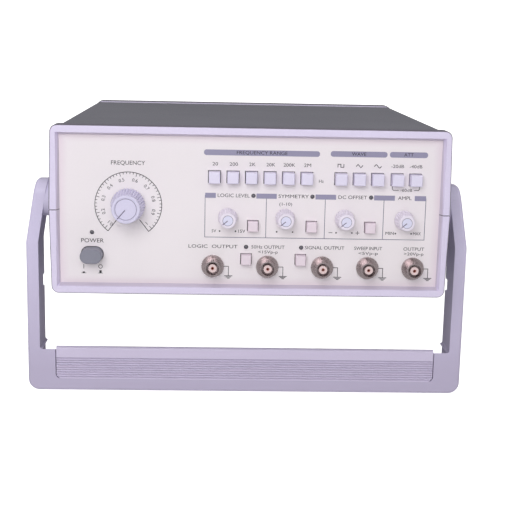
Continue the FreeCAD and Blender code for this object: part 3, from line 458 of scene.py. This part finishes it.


# The slope tint, the panel's border tint and the darkening down the handle's arms are painted shade.
TINTS = [(finishes["bezel_plastic"], FRONT_OUTLINE + SLOPE_SHADE, linear(200, 190, 208)),
         (finishes["bezel_plastic"], FRONT_OUTLINE + OUTER_FACES, RIM_DARK),
         (finishes["bezel_plastic"], SEAM_PLANE + SEAM_LINE, RIM_DARK),
         (rear_bezel_finish, REAR_OUTLINE + OUTER_FACES, RIM_DARK),
         (finishes["panel_face"], FRONT_OUTLINE + PANEL_BORDER_SHADE, linear(230, 217, 225)),
         (finishes["handle_plastic"], SEAM_PLANE + ARM_SHADE_FADE, linear(190, 181, 207))]
for material, values, colour in TINTS:
    tint_where(material, edge, values, colour)
# Painted shade along each groove of the grip.
tint_where(finishes["grip_plastic"], grooves, GRIP_GROOVE_SHADE, linear(174, 164, 190))
print(len(TINTS) + 1, "tints mixed in")

# %% [markdown]
# ## Dressing the solid pieces
#
# The record says which material slot each solid piece belongs to. Giving a piece its finish is
# only a matter of filling the first slot of its mesh, which changes no vertex. The pieces that
# differ from the rest of their slot are picked out by name.

# %% Assign finishes by slot
WARM_BUTTONS = ("level_button", "symmetry_button", "offset_button", "line_output_button",
                "signal_output_button")
SMALL_KNOBS = ("level_knob", "symmetry_knob", "offset_knob", "amplitude_knob")

slot_of = {item["node"]: item["material_slot"] for item in frame["record"]["subparts"]}
for name, node in frame["nodes"].items():
    node.data.materials.clear()
    finish = finishes[slot_of[name]]
    if name in WARM_BUTTONS:
        finish = warm_button
    elif name.startswith("rear_bezel"):
        finish = rear_bezel_finish
    elif name in SMALL_KNOBS:
        finish = small_knob_finish
    elif name == "inlet_pins":
        finish = blade_finish
    node.data.materials.append(finish)
print("dressed", len(slot_of), "solid pieces")

# %% [markdown]
# ## Ink
#
# The panel's scales and frames are screen printed. A picture texture could hold them, but then
# every edge would blur close up. Here each mark is real geometry with a hair of thickness, drawn
# flat in millimetres and laid on the panel by one matrix. All marks of one ink share one mesh.
# The simplest marks are a stretched cube, whose upright edges may be rounded, and a low cylinder.


# %% Bars and discs
INK_THICKNESS = 0.06


def draw_bar(ink, x_low, y_low, x_high, y_high, corner=0.0):
    """A filled rectangle, with rounded ends if a corner is given."""
    made = bmesh.ops.create_cube(ink, size=1.0)["verts"]
    size = Vector((x_high - x_low, y_high - y_low, INK_THICKNESS))
    middle = Vector(((x_low + x_high) / 2, (y_low + y_high) / 2, 0))
    bmesh.ops.scale(ink, vec=size, verts=made)
    bmesh.ops.translate(ink, vec=middle, verts=made)
    if corner:
        edges = {side for vert in made for side in vert.link_edges}
        posts = [side for side in edges
                 if abs(side.verts[0].co.z - side.verts[1].co.z) > INK_THICKNESS / 2]
        bmesh.ops.bevel(ink, geom=posts, offset=corner, affect="EDGES", segments=4, profile=0.5,
                        material=-1)


def draw_disc(ink, x, y, radius):
    made = bmesh.ops.create_cone(ink, cap_ends=True, segments=24, radius1=radius, radius2=radius,
                                 depth=INK_THICKNESS)["verts"]
    bmesh.ops.translate(ink, vec=(x, y, 0), verts=made)


print("the ink is", INK_THICKNESS, "mm thick")

# %% [markdown]
# ## Strokes
#
# A stroke is a box stretched to its length, turned and moved between its two points. It reaches
# half its width past each of them, so the strokes of a path close at every corner. Three widths
# serve nearly the whole panel.


# %% Lines and paths
BOLD_LINE = 0.46
FRAME_LINE = 0.42
FINE_LINE = 0.36


def draw_line(ink, start, end, width):
    """A straight stroke with square ends that reach half its width past each end."""
    start = Vector(start)
    end = Vector(end)
    run = end - start
    middle = (start + end) / 2
    made = bmesh.ops.create_cube(ink, size=1.0)["verts"]
    bmesh.ops.scale(ink, vec=(run.length + width, width, INK_THICKNESS), verts=made)
    bmesh.ops.rotate(ink, cent=(0, 0, 0), verts=made,
                     matrix=Matrix.Rotation(math.atan2(run.y, run.x), 3, "Z"))
    bmesh.ops.translate(ink, vec=(middle.x, middle.y, 0), verts=made)


def draw_path(ink, points, width):
    for start, end in zip(points, points[1:]):
        draw_line(ink, start, end, width)


print("strokes are", FINE_LINE, "to", BOLD_LINE, "mm wide")

# %% [markdown]
# ## Rings
#
# A ring is a small upright rectangle spun about its centre. A full turn merges the last section
# with the first. A part turn leaves two open ends, and each of them gets a face.


# %% Arcs and rings
def new_section(mesh, radius, half_width, low, high):
    """Four vertices and four edges that close a rectangle, ready to be spun."""
    corners = [mesh.verts.new((radius + side * half_width, 0, height))
               for side, height in ((-1, low), (1, low), (1, high), (-1, high))]
    sides = [mesh.edges.new((corners[index - 1], corners[index])) for index in range(4)]
    return corners, sides


def draw_arc(ink, x, y, radius, start, sweep, width, steps=96):
    """Part of a ring, from a start angle through a sweep, in degrees."""
    corners, sides = new_section(ink, radius, width / 2, -INK_THICKNESS / 2, INK_THICKNESS / 2)
    bmesh.ops.rotate(ink, cent=(0, 0, 0), verts=corners,
                     matrix=Matrix.Rotation(math.radians(start), 3, "Z"))
    bmesh.ops.translate(ink, vec=(x, y, 0), verts=corners)
    full = abs(sweep) >= 360
    if not full:
        ink.faces.new(corners)
    spun = bmesh.ops.spin(ink, geom=corners + sides, cent=(x, y, 0), axis=(0, 0, 1),
                          angle=math.radians(sweep), steps=steps, use_merge=full)
    if not full:
        last = [item for item in spun["geom_last"] if isinstance(item, bmesh.types.BMVert)]
        bmesh.ops.contextual_create(ink, geom=last)


trial = bmesh.new()
draw_arc(trial, 0, 0, 1.0, 0, 360, 0.1, 32)
print("a ring of 32 steps has", len(trial.faces), "faces")
trial.free()

# %% [markdown]
# ## Words
#
# Letters come from a text curve in the typeface that Blender brings along. The curve is given
# its thickness and made a mesh while it still lies at the origin. Only then is it squeezed to a
# given width, turned and moved. A font's size is more than the height of its capitals, so the
# size is worked out from the height wanted.


# %% Words
CAPITAL_SHARE = 0.73
TITLE_HEIGHT = 2.9
LABEL_HEIGHT = 2.4
SMALL_HEIGHT = 2.2
NOTE_HEIGHT = 2.1


def draw_words(ink, text, x, y, height, width=None, turn=0.0):
    """Lettering centred on a point; width, if given, squeezes it to fit."""
    curve = bpy.data.curves.new("words", "FONT")
    curve.body = text
    curve.size = height / CAPITAL_SHARE
    curve.align_x = "CENTER"
    curve.align_y = "CENTER"
    curve.extrude = INK_THICKNESS / 2
    curve.resolution_u = 3
    holder = link_object("words", curve)
    bpy.context.view_layer.update()
    flat = bpy.data.meshes.new_from_object(holder)
    bpy.data.objects.remove(holder)
    bpy.data.curves.remove(curve)
    spread = [vert.co.x for vert in flat.vertices]
    squeeze = width / (max(spread) - min(spread)) if width else 1.0
    flat.transform(Matrix.Translation((x, y, 0)) @ Matrix.Rotation(math.radians(turn), 4, "Z")
                   @ Matrix.Diagonal((squeeze, 1.0, 1.0, 1.0)))
    ink.from_mesh(flat)
    bpy.data.meshes.remove(flat)


print("capitals stand", NOTE_HEIGHT, "to", TITLE_HEIGHT, "mm high")

# %% [markdown]
# ## The dial's scale
#
# The scale is a ring of 285 degrees, open at the bottom. Its ends run in towards the knob. Ten
# numbers stand every 30 degrees with their heads outwards, and each step is cut in five by ticks
# that point inwards. A loop is the natural way to draw it.


# %% Draw the dial
DIAL_CENTRE = Vector((-82.2, 3.3))
DIAL_RADIUS = 22.4
NUMBER_RADIUS = 17.2
INNER_RADIUS = 12.6
DIAL_END = 232.5
FIRST_ANGLE = 225.0
STEP_ANGLE = 30.0
STEPS = 9
TICKS_PER_STEP = 5
LONG_TICK = 2.3
SHORT_TICK = 1.3
DIAL_TITLE = ("FREQUENCY", -82.5, 31.7, TITLE_HEIGHT, 22.6)


def on_dial(radius, angle):
    theta = math.radians(angle)
    return DIAL_CENTRE + Vector((math.cos(theta), math.sin(theta))) * radius


dark = bmesh.new()
draw_arc(dark, DIAL_CENTRE.x, DIAL_CENTRE.y, DIAL_RADIUS, 180 - DIAL_END, 2 * DIAL_END - 180,
         BOLD_LINE)
for end in (DIAL_END, 180 - DIAL_END):
    draw_line(dark, on_dial(DIAL_RADIUS, end), on_dial(INNER_RADIUS, end), BOLD_LINE)
for tick in range(STEPS * TICKS_PER_STEP + 1):
    angle = FIRST_ANGLE - tick * STEP_ANGLE / TICKS_PER_STEP
    length = LONG_TICK if tick % TICKS_PER_STEP == 0 else SHORT_TICK
    draw_line(dark, on_dial(DIAL_RADIUS, angle), on_dial(DIAL_RADIUS - length, angle), FINE_LINE)
for step in range(STEPS + 1):
    angle = FIRST_ANGLE - step * STEP_ANGLE
    spot = on_dial(NUMBER_RADIUS, angle)
    text = "1" if step == STEPS else "0.%d" % (step + 1)
    draw_words(dark, text, spot.x, spot.y, LABEL_HEIGHT, turn=angle - 90)
draw_words(dark, *DIAL_TITLE)
print("dial drawn round", tuple(round(value, 1) for value in DIAL_CENTRE))

# %% [markdown]
# ## Labels over the range buttons
#
# Each button's label sits a fixed height above it. The button's own middle is read from the
# model, so label and button can't drift apart. Each label comes with its width. The unit stands
# after the last button. Only generic words, numbers and symbols are used.


# %% Label the ranges
def middle_of(node):
    """How far to the right of the panel's middle a piece stands, in millimetres."""
    low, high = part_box(node)
    return (low[0] + high[0]) / 2 / MM


RANGE_ROW = 32.0
RANGE_SHIFT = 0.4
RANGE_LABELS = {"20": 3.7, "200": 5.6, "2K": 4.2, "20K": 5.9, "200K": 7.8, "2M": 4.7}
UNIT = ("Hz", 47.2, 21.4, SMALL_HEIGHT)

for text, wide in RANGE_LABELS.items():
    x = middle_of("range_button_" + text.lower()) + RANGE_SHIFT
    draw_words(dark, text, x, RANGE_ROW, LABEL_HEIGHT, wide)
draw_words(dark, *UNIT)
print(len(RANGE_LABELS), "ranges labelled")

# %% [markdown]
# ## The three waves
#
# Pictures of the waves stand over the wave buttons. Each is a path about its button's middle. The
# square and the triangle need only their corners, and the sine is worked out from its formula.

# %% Draw the waves
SYMBOL_ROW = 32.2
SINE_LENGTH = 4.6
SINE_RISE = 1.05
SINE_STEPS = 16

square = [(-2.2, -0.9), (-2.2, 1.0), (-0.2, 1.0), (-0.2, -1.0), (1.8, -1.0), (1.8, 0.9)]
triangle = [(-2.2, -0.2), (-1.1, 1.1), (0.9, -1.1), (2.1, 0.3)]
parts = [step / SINE_STEPS for step in range(SINE_STEPS + 1)]
sine = [((part - 0.5) * SINE_LENGTH, SINE_RISE * math.sin(2 * math.pi * part)) for part in parts]
for name, wave in (("square", square), ("triangle", triangle), ("sine", sine)):
    x = middle_of("wave_button_" + name)
    draw_path(dark, [(x + run, SYMBOL_ROW + rise) for run, rise in wave], BOLD_LINE)
print("the sine has", len(sine), "points")

# %% [markdown]
# ## The attenuator's labels
#
# Either button weakens the signal by its own step, and both together by their sum. So each has
# its label above, and a bracket below joins the two to the label of the sum.

# %% Label the attenuator
STEP_ROW = 32.3
STEP_HEIGHT = 2.3
STEP_WIDTH = 8.6
BRACKET_TOP = 18.9
BRACKET_BEND = 17.0
SUM_ROW = 16.2
SUM_MIDDLE = 105.0
SUM_WIDTH = 8.0
SUM_CLEAR = 5.4
BRACKET_REACH = 3.0
BRACKET_CORNER = 0.8

for text, side in (("-20dB", -1), ("-40dB", 1)):
    x = middle_of("attenuator_button_" + text[1:].lower())
    draw_words(dark, text, x, STEP_ROW, STEP_HEIGHT, STEP_WIDTH)
    outer = x + side * BRACKET_REACH
    draw_path(dark, [(outer, BRACKET_TOP), (outer, BRACKET_BEND),
                     (outer - side * BRACKET_CORNER, SUM_ROW),
                     (SUM_MIDDLE + side * SUM_CLEAR, SUM_ROW)], FINE_LINE)
draw_words(dark, "-60dB", SUM_MIDDLE, SUM_ROW, NOTE_HEIGHT, SUM_WIDTH)
print("attenuator labelled")

# %% [markdown]
# ## Headings over the button groups
#
# A blue-grey bar with rounded ends heads each group of buttons, with its word in the middle. The
# bars have an ink of their own. Each row gives a bar's two ends, its height on the panel, its
# word and the width of the word.

# %% Draw the headings
HEADING_HALF = 1.9
HEADING_CORNER = 1.7
HEADINGS = ((-31.8, 45.8, 39.8, "FREQUENCY RANGE", 34.0),
            (53.0, 91.2, 40.1, "WAVE", 9.6),
            (92.8, 118.6, 40.2, "ATT", 6.4))

tint = bmesh.new()
for low, high, row, text, wide in HEADINGS:
    draw_bar(tint, low, row - HEADING_HALF, high, row + HEADING_HALF, HEADING_CORNER)
    draw_words(dark, text, (low + high) / 2, row, LABEL_HEIGHT, wide)
print(len(HEADINGS), "headings drawn")

# %% [markdown]
# ## The frame round the small knobs
#
# The four small knobs stand in one long frame with three dividers. Its header is a bar broken
# over each knob: the gap holds the knob's heading and, in all but the last, a lamp at its right.
# Each row of the table gives a gap's two ends, the room for the lamp, and the heading's word and
# width. The symmetry knob's range of ratios stands below its heading.

# %% Frame the small knobs
FRAME_TOP = 12.5
FRAME_BOTTOM = -17.7
HEADER = 3.4
LAMP_ROOM = 3.5
FRAME_TEXT = 2.5
UPRIGHTS = (-30.7, 10.6, 50.4, 90.2, 118.7)
RATIOS = ("(1-10)", 23.7, 5.5, SMALL_HEIGHT, 8.6)
GAPS = ((-23.5, 3.8, LAMP_ROOM, "LOGIC LEVEL", 21.6),
        (17.5, 43.7, LAMP_ROOM, "SYMMETRY", 20.5),
        (57.6, 83.4, LAMP_ROOM, "DC OFFSET", 19.4),
        (97.5, 111.0, 0.0, "AMPL", 9.2))

frames = bmesh.new()
header_row = FRAME_TOP - HEADER / 2
for x in UPRIGHTS:
    draw_line(frames, (x, header_row), (x, FRAME_BOTTOM), FRAME_LINE)
draw_line(frames, (UPRIGHTS[0], FRAME_BOTTOM), (UPRIGHTS[-1], FRAME_BOTTOM), FRAME_LINE)
for left, right, (low, high, room, text, wide) in zip(UPRIGHTS, UPRIGHTS[1:], GAPS):
    draw_bar(tint, left, FRAME_TOP - HEADER, low, FRAME_TOP)
    draw_bar(tint, high, FRAME_TOP - HEADER, right, FRAME_TOP)
    draw_words(dark, text, (low + high - room) / 2, header_row, FRAME_TEXT, wide)
draw_words(dark, *RATIOS)
print(len(GAPS), "knobs framed")

# %% [markdown]
# ## The ends of each knob's turn
#
# A dot marks either end of a small knob's turn. Outside the dots stand what the ends mean: two
# levels, least and most, or a minus and a plus, which are quicker to draw than to write.

# %% Mark the knobs' ends
END_ROW = -13.5
DOT_REACH = 5.4
DOT_RADIUS = 0.55
WORD_REACH = 9.3
SIGN_REACH = 9.2
SIGN_HALF = 1.1
END_WORDS = (("level_knob", -1, "5V", 3.1), ("level_knob", 1, "15V", 4.7),
             ("amplitude_knob", -1, "MIN", 5.7), ("amplitude_knob", 1, "MAX", 5.2))

for side in (-1, 1):
    for name in SMALL_KNOBS:
        draw_disc(dark, middle_of(name) + side * DOT_REACH, END_ROW, DOT_RADIUS)
    x = middle_of("offset_knob") + side * SIGN_REACH
    draw_line(dark, (x - SIGN_HALF, END_ROW), (x + SIGN_HALF, END_ROW), FINE_LINE)
    if side == 1:
        draw_line(dark, (x, END_ROW - SIGN_HALF), (x, END_ROW + SIGN_HALF), FINE_LINE)
for name, side, text, wide in END_WORDS:
    draw_words(dark, text, middle_of(name) + side * WORD_REACH, END_ROW, SMALL_HEIGHT, wide)
print("ends of", len(SMALL_KNOBS), "knobs marked")

# %% [markdown]
# ## The sockets' labels
#
# Every socket has its name above it and an earth mark at its right: a line from the shell, a stem
# and three bars, each shorter than the last. Three sockets have a note of their voltage as well.
# Each row gives the socket, its name, how far the name stands to the right, its width and the
# note. Each earth bar is given by half its length and its drop below the socket's middle.

# %% Label the sockets
SOCKET_ROW = -37.5
NAME_ROW = -24.2
NOTE_ROW = -27.6
NOTE_SHIFT = 0.1
NOTE_WIDTH = 13.4
EARTH_START = 7.6
EARTH_STEM = 10.8
EARTH_DROP = 0.3
STEM_DROP = 6.8
EARTH_BARS = ((2.5, 6.9), (1.6, 7.7), (0.7, 8.5))
SOCKET_LABELS = (("logic_output_socket", "LOGIC  OUTPUT", 0.0, 33.2, ""),
                 ("line_output_socket", "50Hz OUTPUT", 0.2, 22.6, "<15Vp-p"),
                 ("signal_output_socket", "SIGNAL OUTPUT", 1.4, 27.0, ""),
                 ("sweep_input_socket", "SWEEP INPUT", 0.2, 19.0, "<5Vp-p"),
                 ("main_output_socket", "OUTPUT", 0.4, 14.2, ">20Vp-p"))

for name, text, shift, wide, note in SOCKET_LABELS:
    x = middle_of(name)
    draw_words(dark, text, x + shift, NAME_ROW, LABEL_HEIGHT, wide)
    if note:
        draw_words(dark, note, x + shift + NOTE_SHIFT, NOTE_ROW, NOTE_HEIGHT, NOTE_WIDTH)
    stem = x + EARTH_STEM
    draw_path(dark, [(x + EARTH_START, SOCKET_ROW - EARTH_DROP), (stem, SOCKET_ROW - EARTH_DROP),
                     (stem, SOCKET_ROW - STEM_DROP)], FRAME_LINE)
    for half, drop in EARTH_BARS:
        draw_line(dark, (stem - half, SOCKET_ROW - drop), (stem + half, SOCKET_ROW - drop),
                  BOLD_LINE)
print(len(SOCKET_LABELS), "sockets labelled")

# %% [markdown]
# ## Marks round the power button
#
# The button's word stands above it. Below it stand a stroke for on and a ring for off. Under each
# is a small drawing of the button from the side: low for pressed and high for released.

# %% Draw the power marks
POWER_ROW = -21.3
POWER_SHIFT = 0.1
POWER_WIDTH = 15.2
POWER_LINE = 0.4
ON_REACH = 5.8
OFF_REACH = 5.5
STROKE_TOP = -37.9
STROKE_BOTTOM = -40.4
RING_ROW = -39.1
RING_RADIUS = 1.25
BASE_ROW = -43.7
BASE_HALF = 1.5
BASE_LINE = 0.3
BUTTON_HALF = 0.8
BUTTON_CORNER = 0.3
PRESSED_RISE = 1.0
RELEASED_RISE = 2.0

x = middle_of("power_button")
on_x = x - ON_REACH
off_x = x + OFF_REACH
draw_words(dark, "POWER", x + POWER_SHIFT, POWER_ROW, TITLE_HEIGHT, POWER_WIDTH)
draw_line(dark, (on_x, STROKE_TOP), (on_x, STROKE_BOTTOM), POWER_LINE)
draw_arc(dark, off_x, RING_ROW, RING_RADIUS, 0, 360, POWER_LINE, 32)
for spot, rise in ((on_x, PRESSED_RISE), (off_x, RELEASED_RISE)):
    draw_line(dark, (spot - BASE_HALF, BASE_ROW), (spot + BASE_HALF, BASE_ROW), BASE_LINE)
    draw_bar(dark, spot - BUTTON_HALF, BASE_ROW, spot + BUTTON_HALF, BASE_ROW + rise,
             BUTTON_CORNER)
print("power marks drawn at", round(on_x, 1), "and", round(off_x, 1))

# %% [markdown]
# ## From a drawing to a piece
#
# A finished mesh becomes an object with its own finish. It rides on a body, so it
# moves when that body does.


# %% Make a piece
def add_piece(mesh, name, material, body):
    """Turn a finished bmesh into an object that rides on a body and has a slot."""
    data = bpy.data.meshes.new(name)
    mesh.to_mesh(data)
    mesh.free()
    data.materials.append(material)
    data.shade_flat()
    piece = link_object(name, data)
    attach(piece, body)
    print(name, "has", len(data.polygons), "faces")


# %% [markdown]
# ## Inlays on the knobs
#
# Every knob has a shallow dish with a groove for its pointer. The groove is filled with dark
# paint and the dish is ringed with it; the four small ones also have a pale disc, which fills the
# dish almost to its rim. Each inlay rides on its own knob, so it turns with it. Heights are
# counted from the floor of the dish.


# %% Tools for the inlays
KNOB_DISH = 0.5
GROOVE_DEPTH = 0.39
POINTER_WIDTH = 0.6
POINTER_RISE = 0.06
RING_HALF = 0.14
RING_SINK = 0.03
RING_RISE = 0.05
CAP_GAP = 0.08
CAP_SINK = 0.02


def in_panel(point):
    return panel_axes.inverted() @ point


def dish_matrix(node):
    """Takes millimetres, from the middle of the floor of a knob's dish, to the world."""
    centre = in_panel(Vector(joints[node + "_turn"]["pos_m"]))
    crown = max(in_panel(vert.co).z for vert in frame["nodes"][node].data.vertices)
    return panel_axes @ Matrix.Translation((centre.x, centre.y, crown - KNOB_DISH))


def add_pointer(node, top, ring, angle, inner, outer):
    """The paint: a strip in the groove, from inner to outer, and a ring round the dish."""
    paint = bmesh.new()
    strip = bmesh.ops.create_cube(paint, size=1.0)["verts"]
    low = -GROOVE_DEPTH
    high = top + POINTER_RISE
    bmesh.ops.scale(paint, vec=(outer - inner, POINTER_WIDTH, high - low), verts=strip)
    bmesh.ops.translate(paint, vec=((inner + outer) / 2, 0, (low + high) / 2), verts=strip)
    bmesh.ops.rotate(paint, cent=(0, 0, 0), verts=strip,
                     matrix=Matrix.Rotation(math.radians(angle), 3, "Z"))
    corners, sides = new_section(paint, ring, RING_HALF, top - RING_SINK, top + RING_RISE)
    bmesh.ops.spin(paint, geom=corners + sides, cent=(0, 0, 0), axis=(0, 0, 1),
                   angle=math.radians(360), steps=48, use_merge=True)
    bmesh.ops.recalc_face_normals(paint, faces=paint.faces)
    paint.transform(dish_matrix(node))
    add_piece(paint, node + "_pointer", knob_ink, node)


def add_cap(node, top, radius):
    """A pale disc, as a short cone because the dish has sloping sides."""
    pale = bmesh.new()
    bmesh.ops.create_cone(pale, cap_ends=True, segments=48, radius1=radius - KNOB_DISH,
                          radius2=radius - CAP_GAP, depth=top + CAP_SINK)
    pale.transform(dish_matrix(node) @ Matrix.Translation((0, 0, (top - CAP_SINK) / 2)))
    add_piece(pale, node + "_cap", cap_finish, node)


print("a dish is", KNOB_DISH, "mm deep")

# %% [markdown]
# ## One large dial knob and four small knobs
#
# The dial knob's paint lies on the floor of its dish. On the small knobs it lies on the pale disc.
# The pointers stand where the knobs stand at rest, at the lowest setting of their turn.

# %% Inlay the five knobs
DIAL_RING = 7.0
DIAL_ANGLE = 229.0
DIAL_POINTER = (0.8, 8.4)
SMALL_RING = 3.4
SMALL_ANGLE = 219.0
SMALL_POINTER = (0.2, 4.3)
CAP_RADIUS = 3.6
CAP_TOP = KNOB_DISH - CAP_GAP

knob_ink = plastic("knob_ink", linear(120, 112, 138), drift=0.92, smooth=0.4, rough=0.5)
cap_finish = plastic("cap_finish", linear(224, 223, 245), drift=0.96, smooth=0.35, rough=0.45)
add_pointer("frequency_knob", 0.0, DIAL_RING, DIAL_ANGLE, *DIAL_POINTER)
for name in SMALL_KNOBS:
    add_pointer(name, CAP_TOP, SMALL_RING, SMALL_ANGLE, *SMALL_POINTER)
    add_cap(name, CAP_TOP, CAP_RADIUS)

# %% [markdown]
# ## Printing the panel
#
# The three drawings are moved from flat millimetres to the panel. The back of the ink lies just
# under the panel's face, so no gap can show. Where drawings cross, two faces at one height would
# flicker, so the words lie a hundredth of a millimetre higher than the bars, and the frames as
# much lower.


# %% Lay the print on the panel
INK_SINK = 0.02
LAYER_STEP = 0.01
MERGE_DISTANCE = 0.0005


def lay_ink(ink, name, material, lift):
    """Lay the marks on the panel as one piece that belongs to the case."""
    bmesh.ops.remove_doubles(ink, verts=ink.verts, dist=MERGE_DISTANCE)
    bmesh.ops.recalc_face_normals(ink, faces=ink.faces)
    above = Matrix.Translation((0, 0, INK_THICKNESS / 2 - INK_SINK + lift))
    ink.transform(panel_axes @ above)
    add_piece(ink, name, material, "case")


dark_ink = plastic("dark_ink", linear(28, 22, 34), drift=0.9, smooth=0.45, rough=0.6)
bar_ink = plastic("bar_ink", linear(150, 146, 173), drift=0.95, smooth=0.45, rough=0.6)
line_ink = plastic("line_ink", linear(112, 108, 132), drift=0.95, smooth=0.45, rough=0.6)
lay_ink(dark, "panel_print", dark_ink, LAYER_STEP)
lay_ink(tint, "panel_bars", bar_ink, 0.0)
lay_ink(frames, "panel_frames", line_ink, -LAYER_STEP)

# %% [markdown]
# ## Lamps
#
# The light is broad and comes mostly from the front, so surfaces that face the viewer are bright
# and those that face sideways fall off. Three round area lamps do it. Two are placed along the
# case's own axes, in millimetres, and the third hangs 1.8 metres above the object's middle. All
# of them aim at that middle.


# %% Hang the lamps
def soft_light(name, place, size, power):
    data = bpy.data.lights.new(name, "AREA")
    data.shape = "DISK"
    data.size = size
    data.energy = power
    lamp = link_object(name, data)
    lamp.location = place
    lamp.rotation_euler = (object_middle - place).to_track_quat("-Z", "Y").to_euler()


object_middle = (Vector(cad_box[0]) + Vector(cad_box[1])) / 2
soft_light("front_light", case_axes @ Vector((-200.0, -900.0, 420.0)), size=0.8, power=6.6)
soft_light("side_light", case_axes @ Vector((1100.0, -900.0, 600.0)), size=1.0, power=2.0)
soft_light("top_light", object_middle + Vector((-0.2, 0.5, 1.8)), size=1.4, power=3.8)
print("lamps aim at", [round(value, 3) for value in object_middle])

# %% [markdown]
# ## The room
#
# A white room fills the shadows. It should look bright to the camera, give metal something to
# mirror, and light everything else only faintly. The Light Path node tells these three apart, so
# each kind of ray gets a strength of its own.

# %% Light the room
FILL_STRENGTH = 0.3
SEEN_STRENGTH = 0.7
MIRRORED_STRENGTH = 0.22

world = bpy.data.worlds.new("studio")
bpy.context.scene.world = world
world.use_nodes = True
tree = world.node_tree
background = tree.nodes["Background"]
background.inputs["Color"].default_value = (1.0, 1.0, 1.0, 1.0)
ray = tree.nodes.new("ShaderNodeLightPath")
seen = arithmetic(tree, "MULTIPLY", ray.outputs["Is Camera Ray"], SEEN_STRENGTH)
mirrored = arithmetic(tree, "MULTIPLY", ray.outputs["Is Glossy Ray"], MIRRORED_STRENGTH)
strength = arithmetic(tree, "ADD", arithmetic(tree, "ADD", seen, mirrored), FILL_STRENGTH)
feed(tree, strength, background.inputs["Strength"])
bpy.context.scene.view_settings.view_transform = "Standard"
print("the room shows at", SEEN_STRENGTH + FILL_STRENGTH, "and lights at", FILL_STRENGTH)

# %% [markdown]
# ## The floor
#
# The floor is white. It glows for the camera only, which keeps it pale without lighting the
# object more. It belongs to the scene and not to the object.

# %% Lay the floor
FLOOR_HALF = 6.0
FLOOR_WHITE = (0.9, 0.9, 0.9, 1.0)
FLOOR_ROUGHNESS = 0.9
FLOOR_GLOW = 0.95

floor_mesh = bmesh.new()
bmesh.ops.create_grid(floor_mesh, x_segments=1, y_segments=1, size=FLOOR_HALF)
floor_data = bpy.data.meshes.new("floor")
floor_mesh.to_mesh(floor_data)
floor_mesh.free()
floor = link_object("floor", floor_data)
white = bpy.data.materials.new("floor_white")
white.use_nodes = True
tree = white.node_tree
shader = tree.nodes["Principled BSDF"]
shader.inputs["Base Color"].default_value = FLOOR_WHITE
shader.inputs["Roughness"].default_value = FLOOR_ROUGHNESS
shader.inputs["Emission Color"].default_value = (1.0, 1.0, 1.0, 1.0)
ray = tree.nodes.new("ShaderNodeLightPath")
feed(tree, arithmetic(tree, "MULTIPLY", ray.outputs["Is Camera Ray"], FLOOR_GLOW),
     shader.inputs["Emission Strength"])
floor_data.materials.append(white)
print("the floor is", 2 * FLOOR_HALF, "metres wide")

# %% [markdown]
# ## The box measured at the start
#
# The box round the solid pieces was measured at the start, before any piece was added, and the
# lamps aim at its middle.

# %% Finish
print("finished")
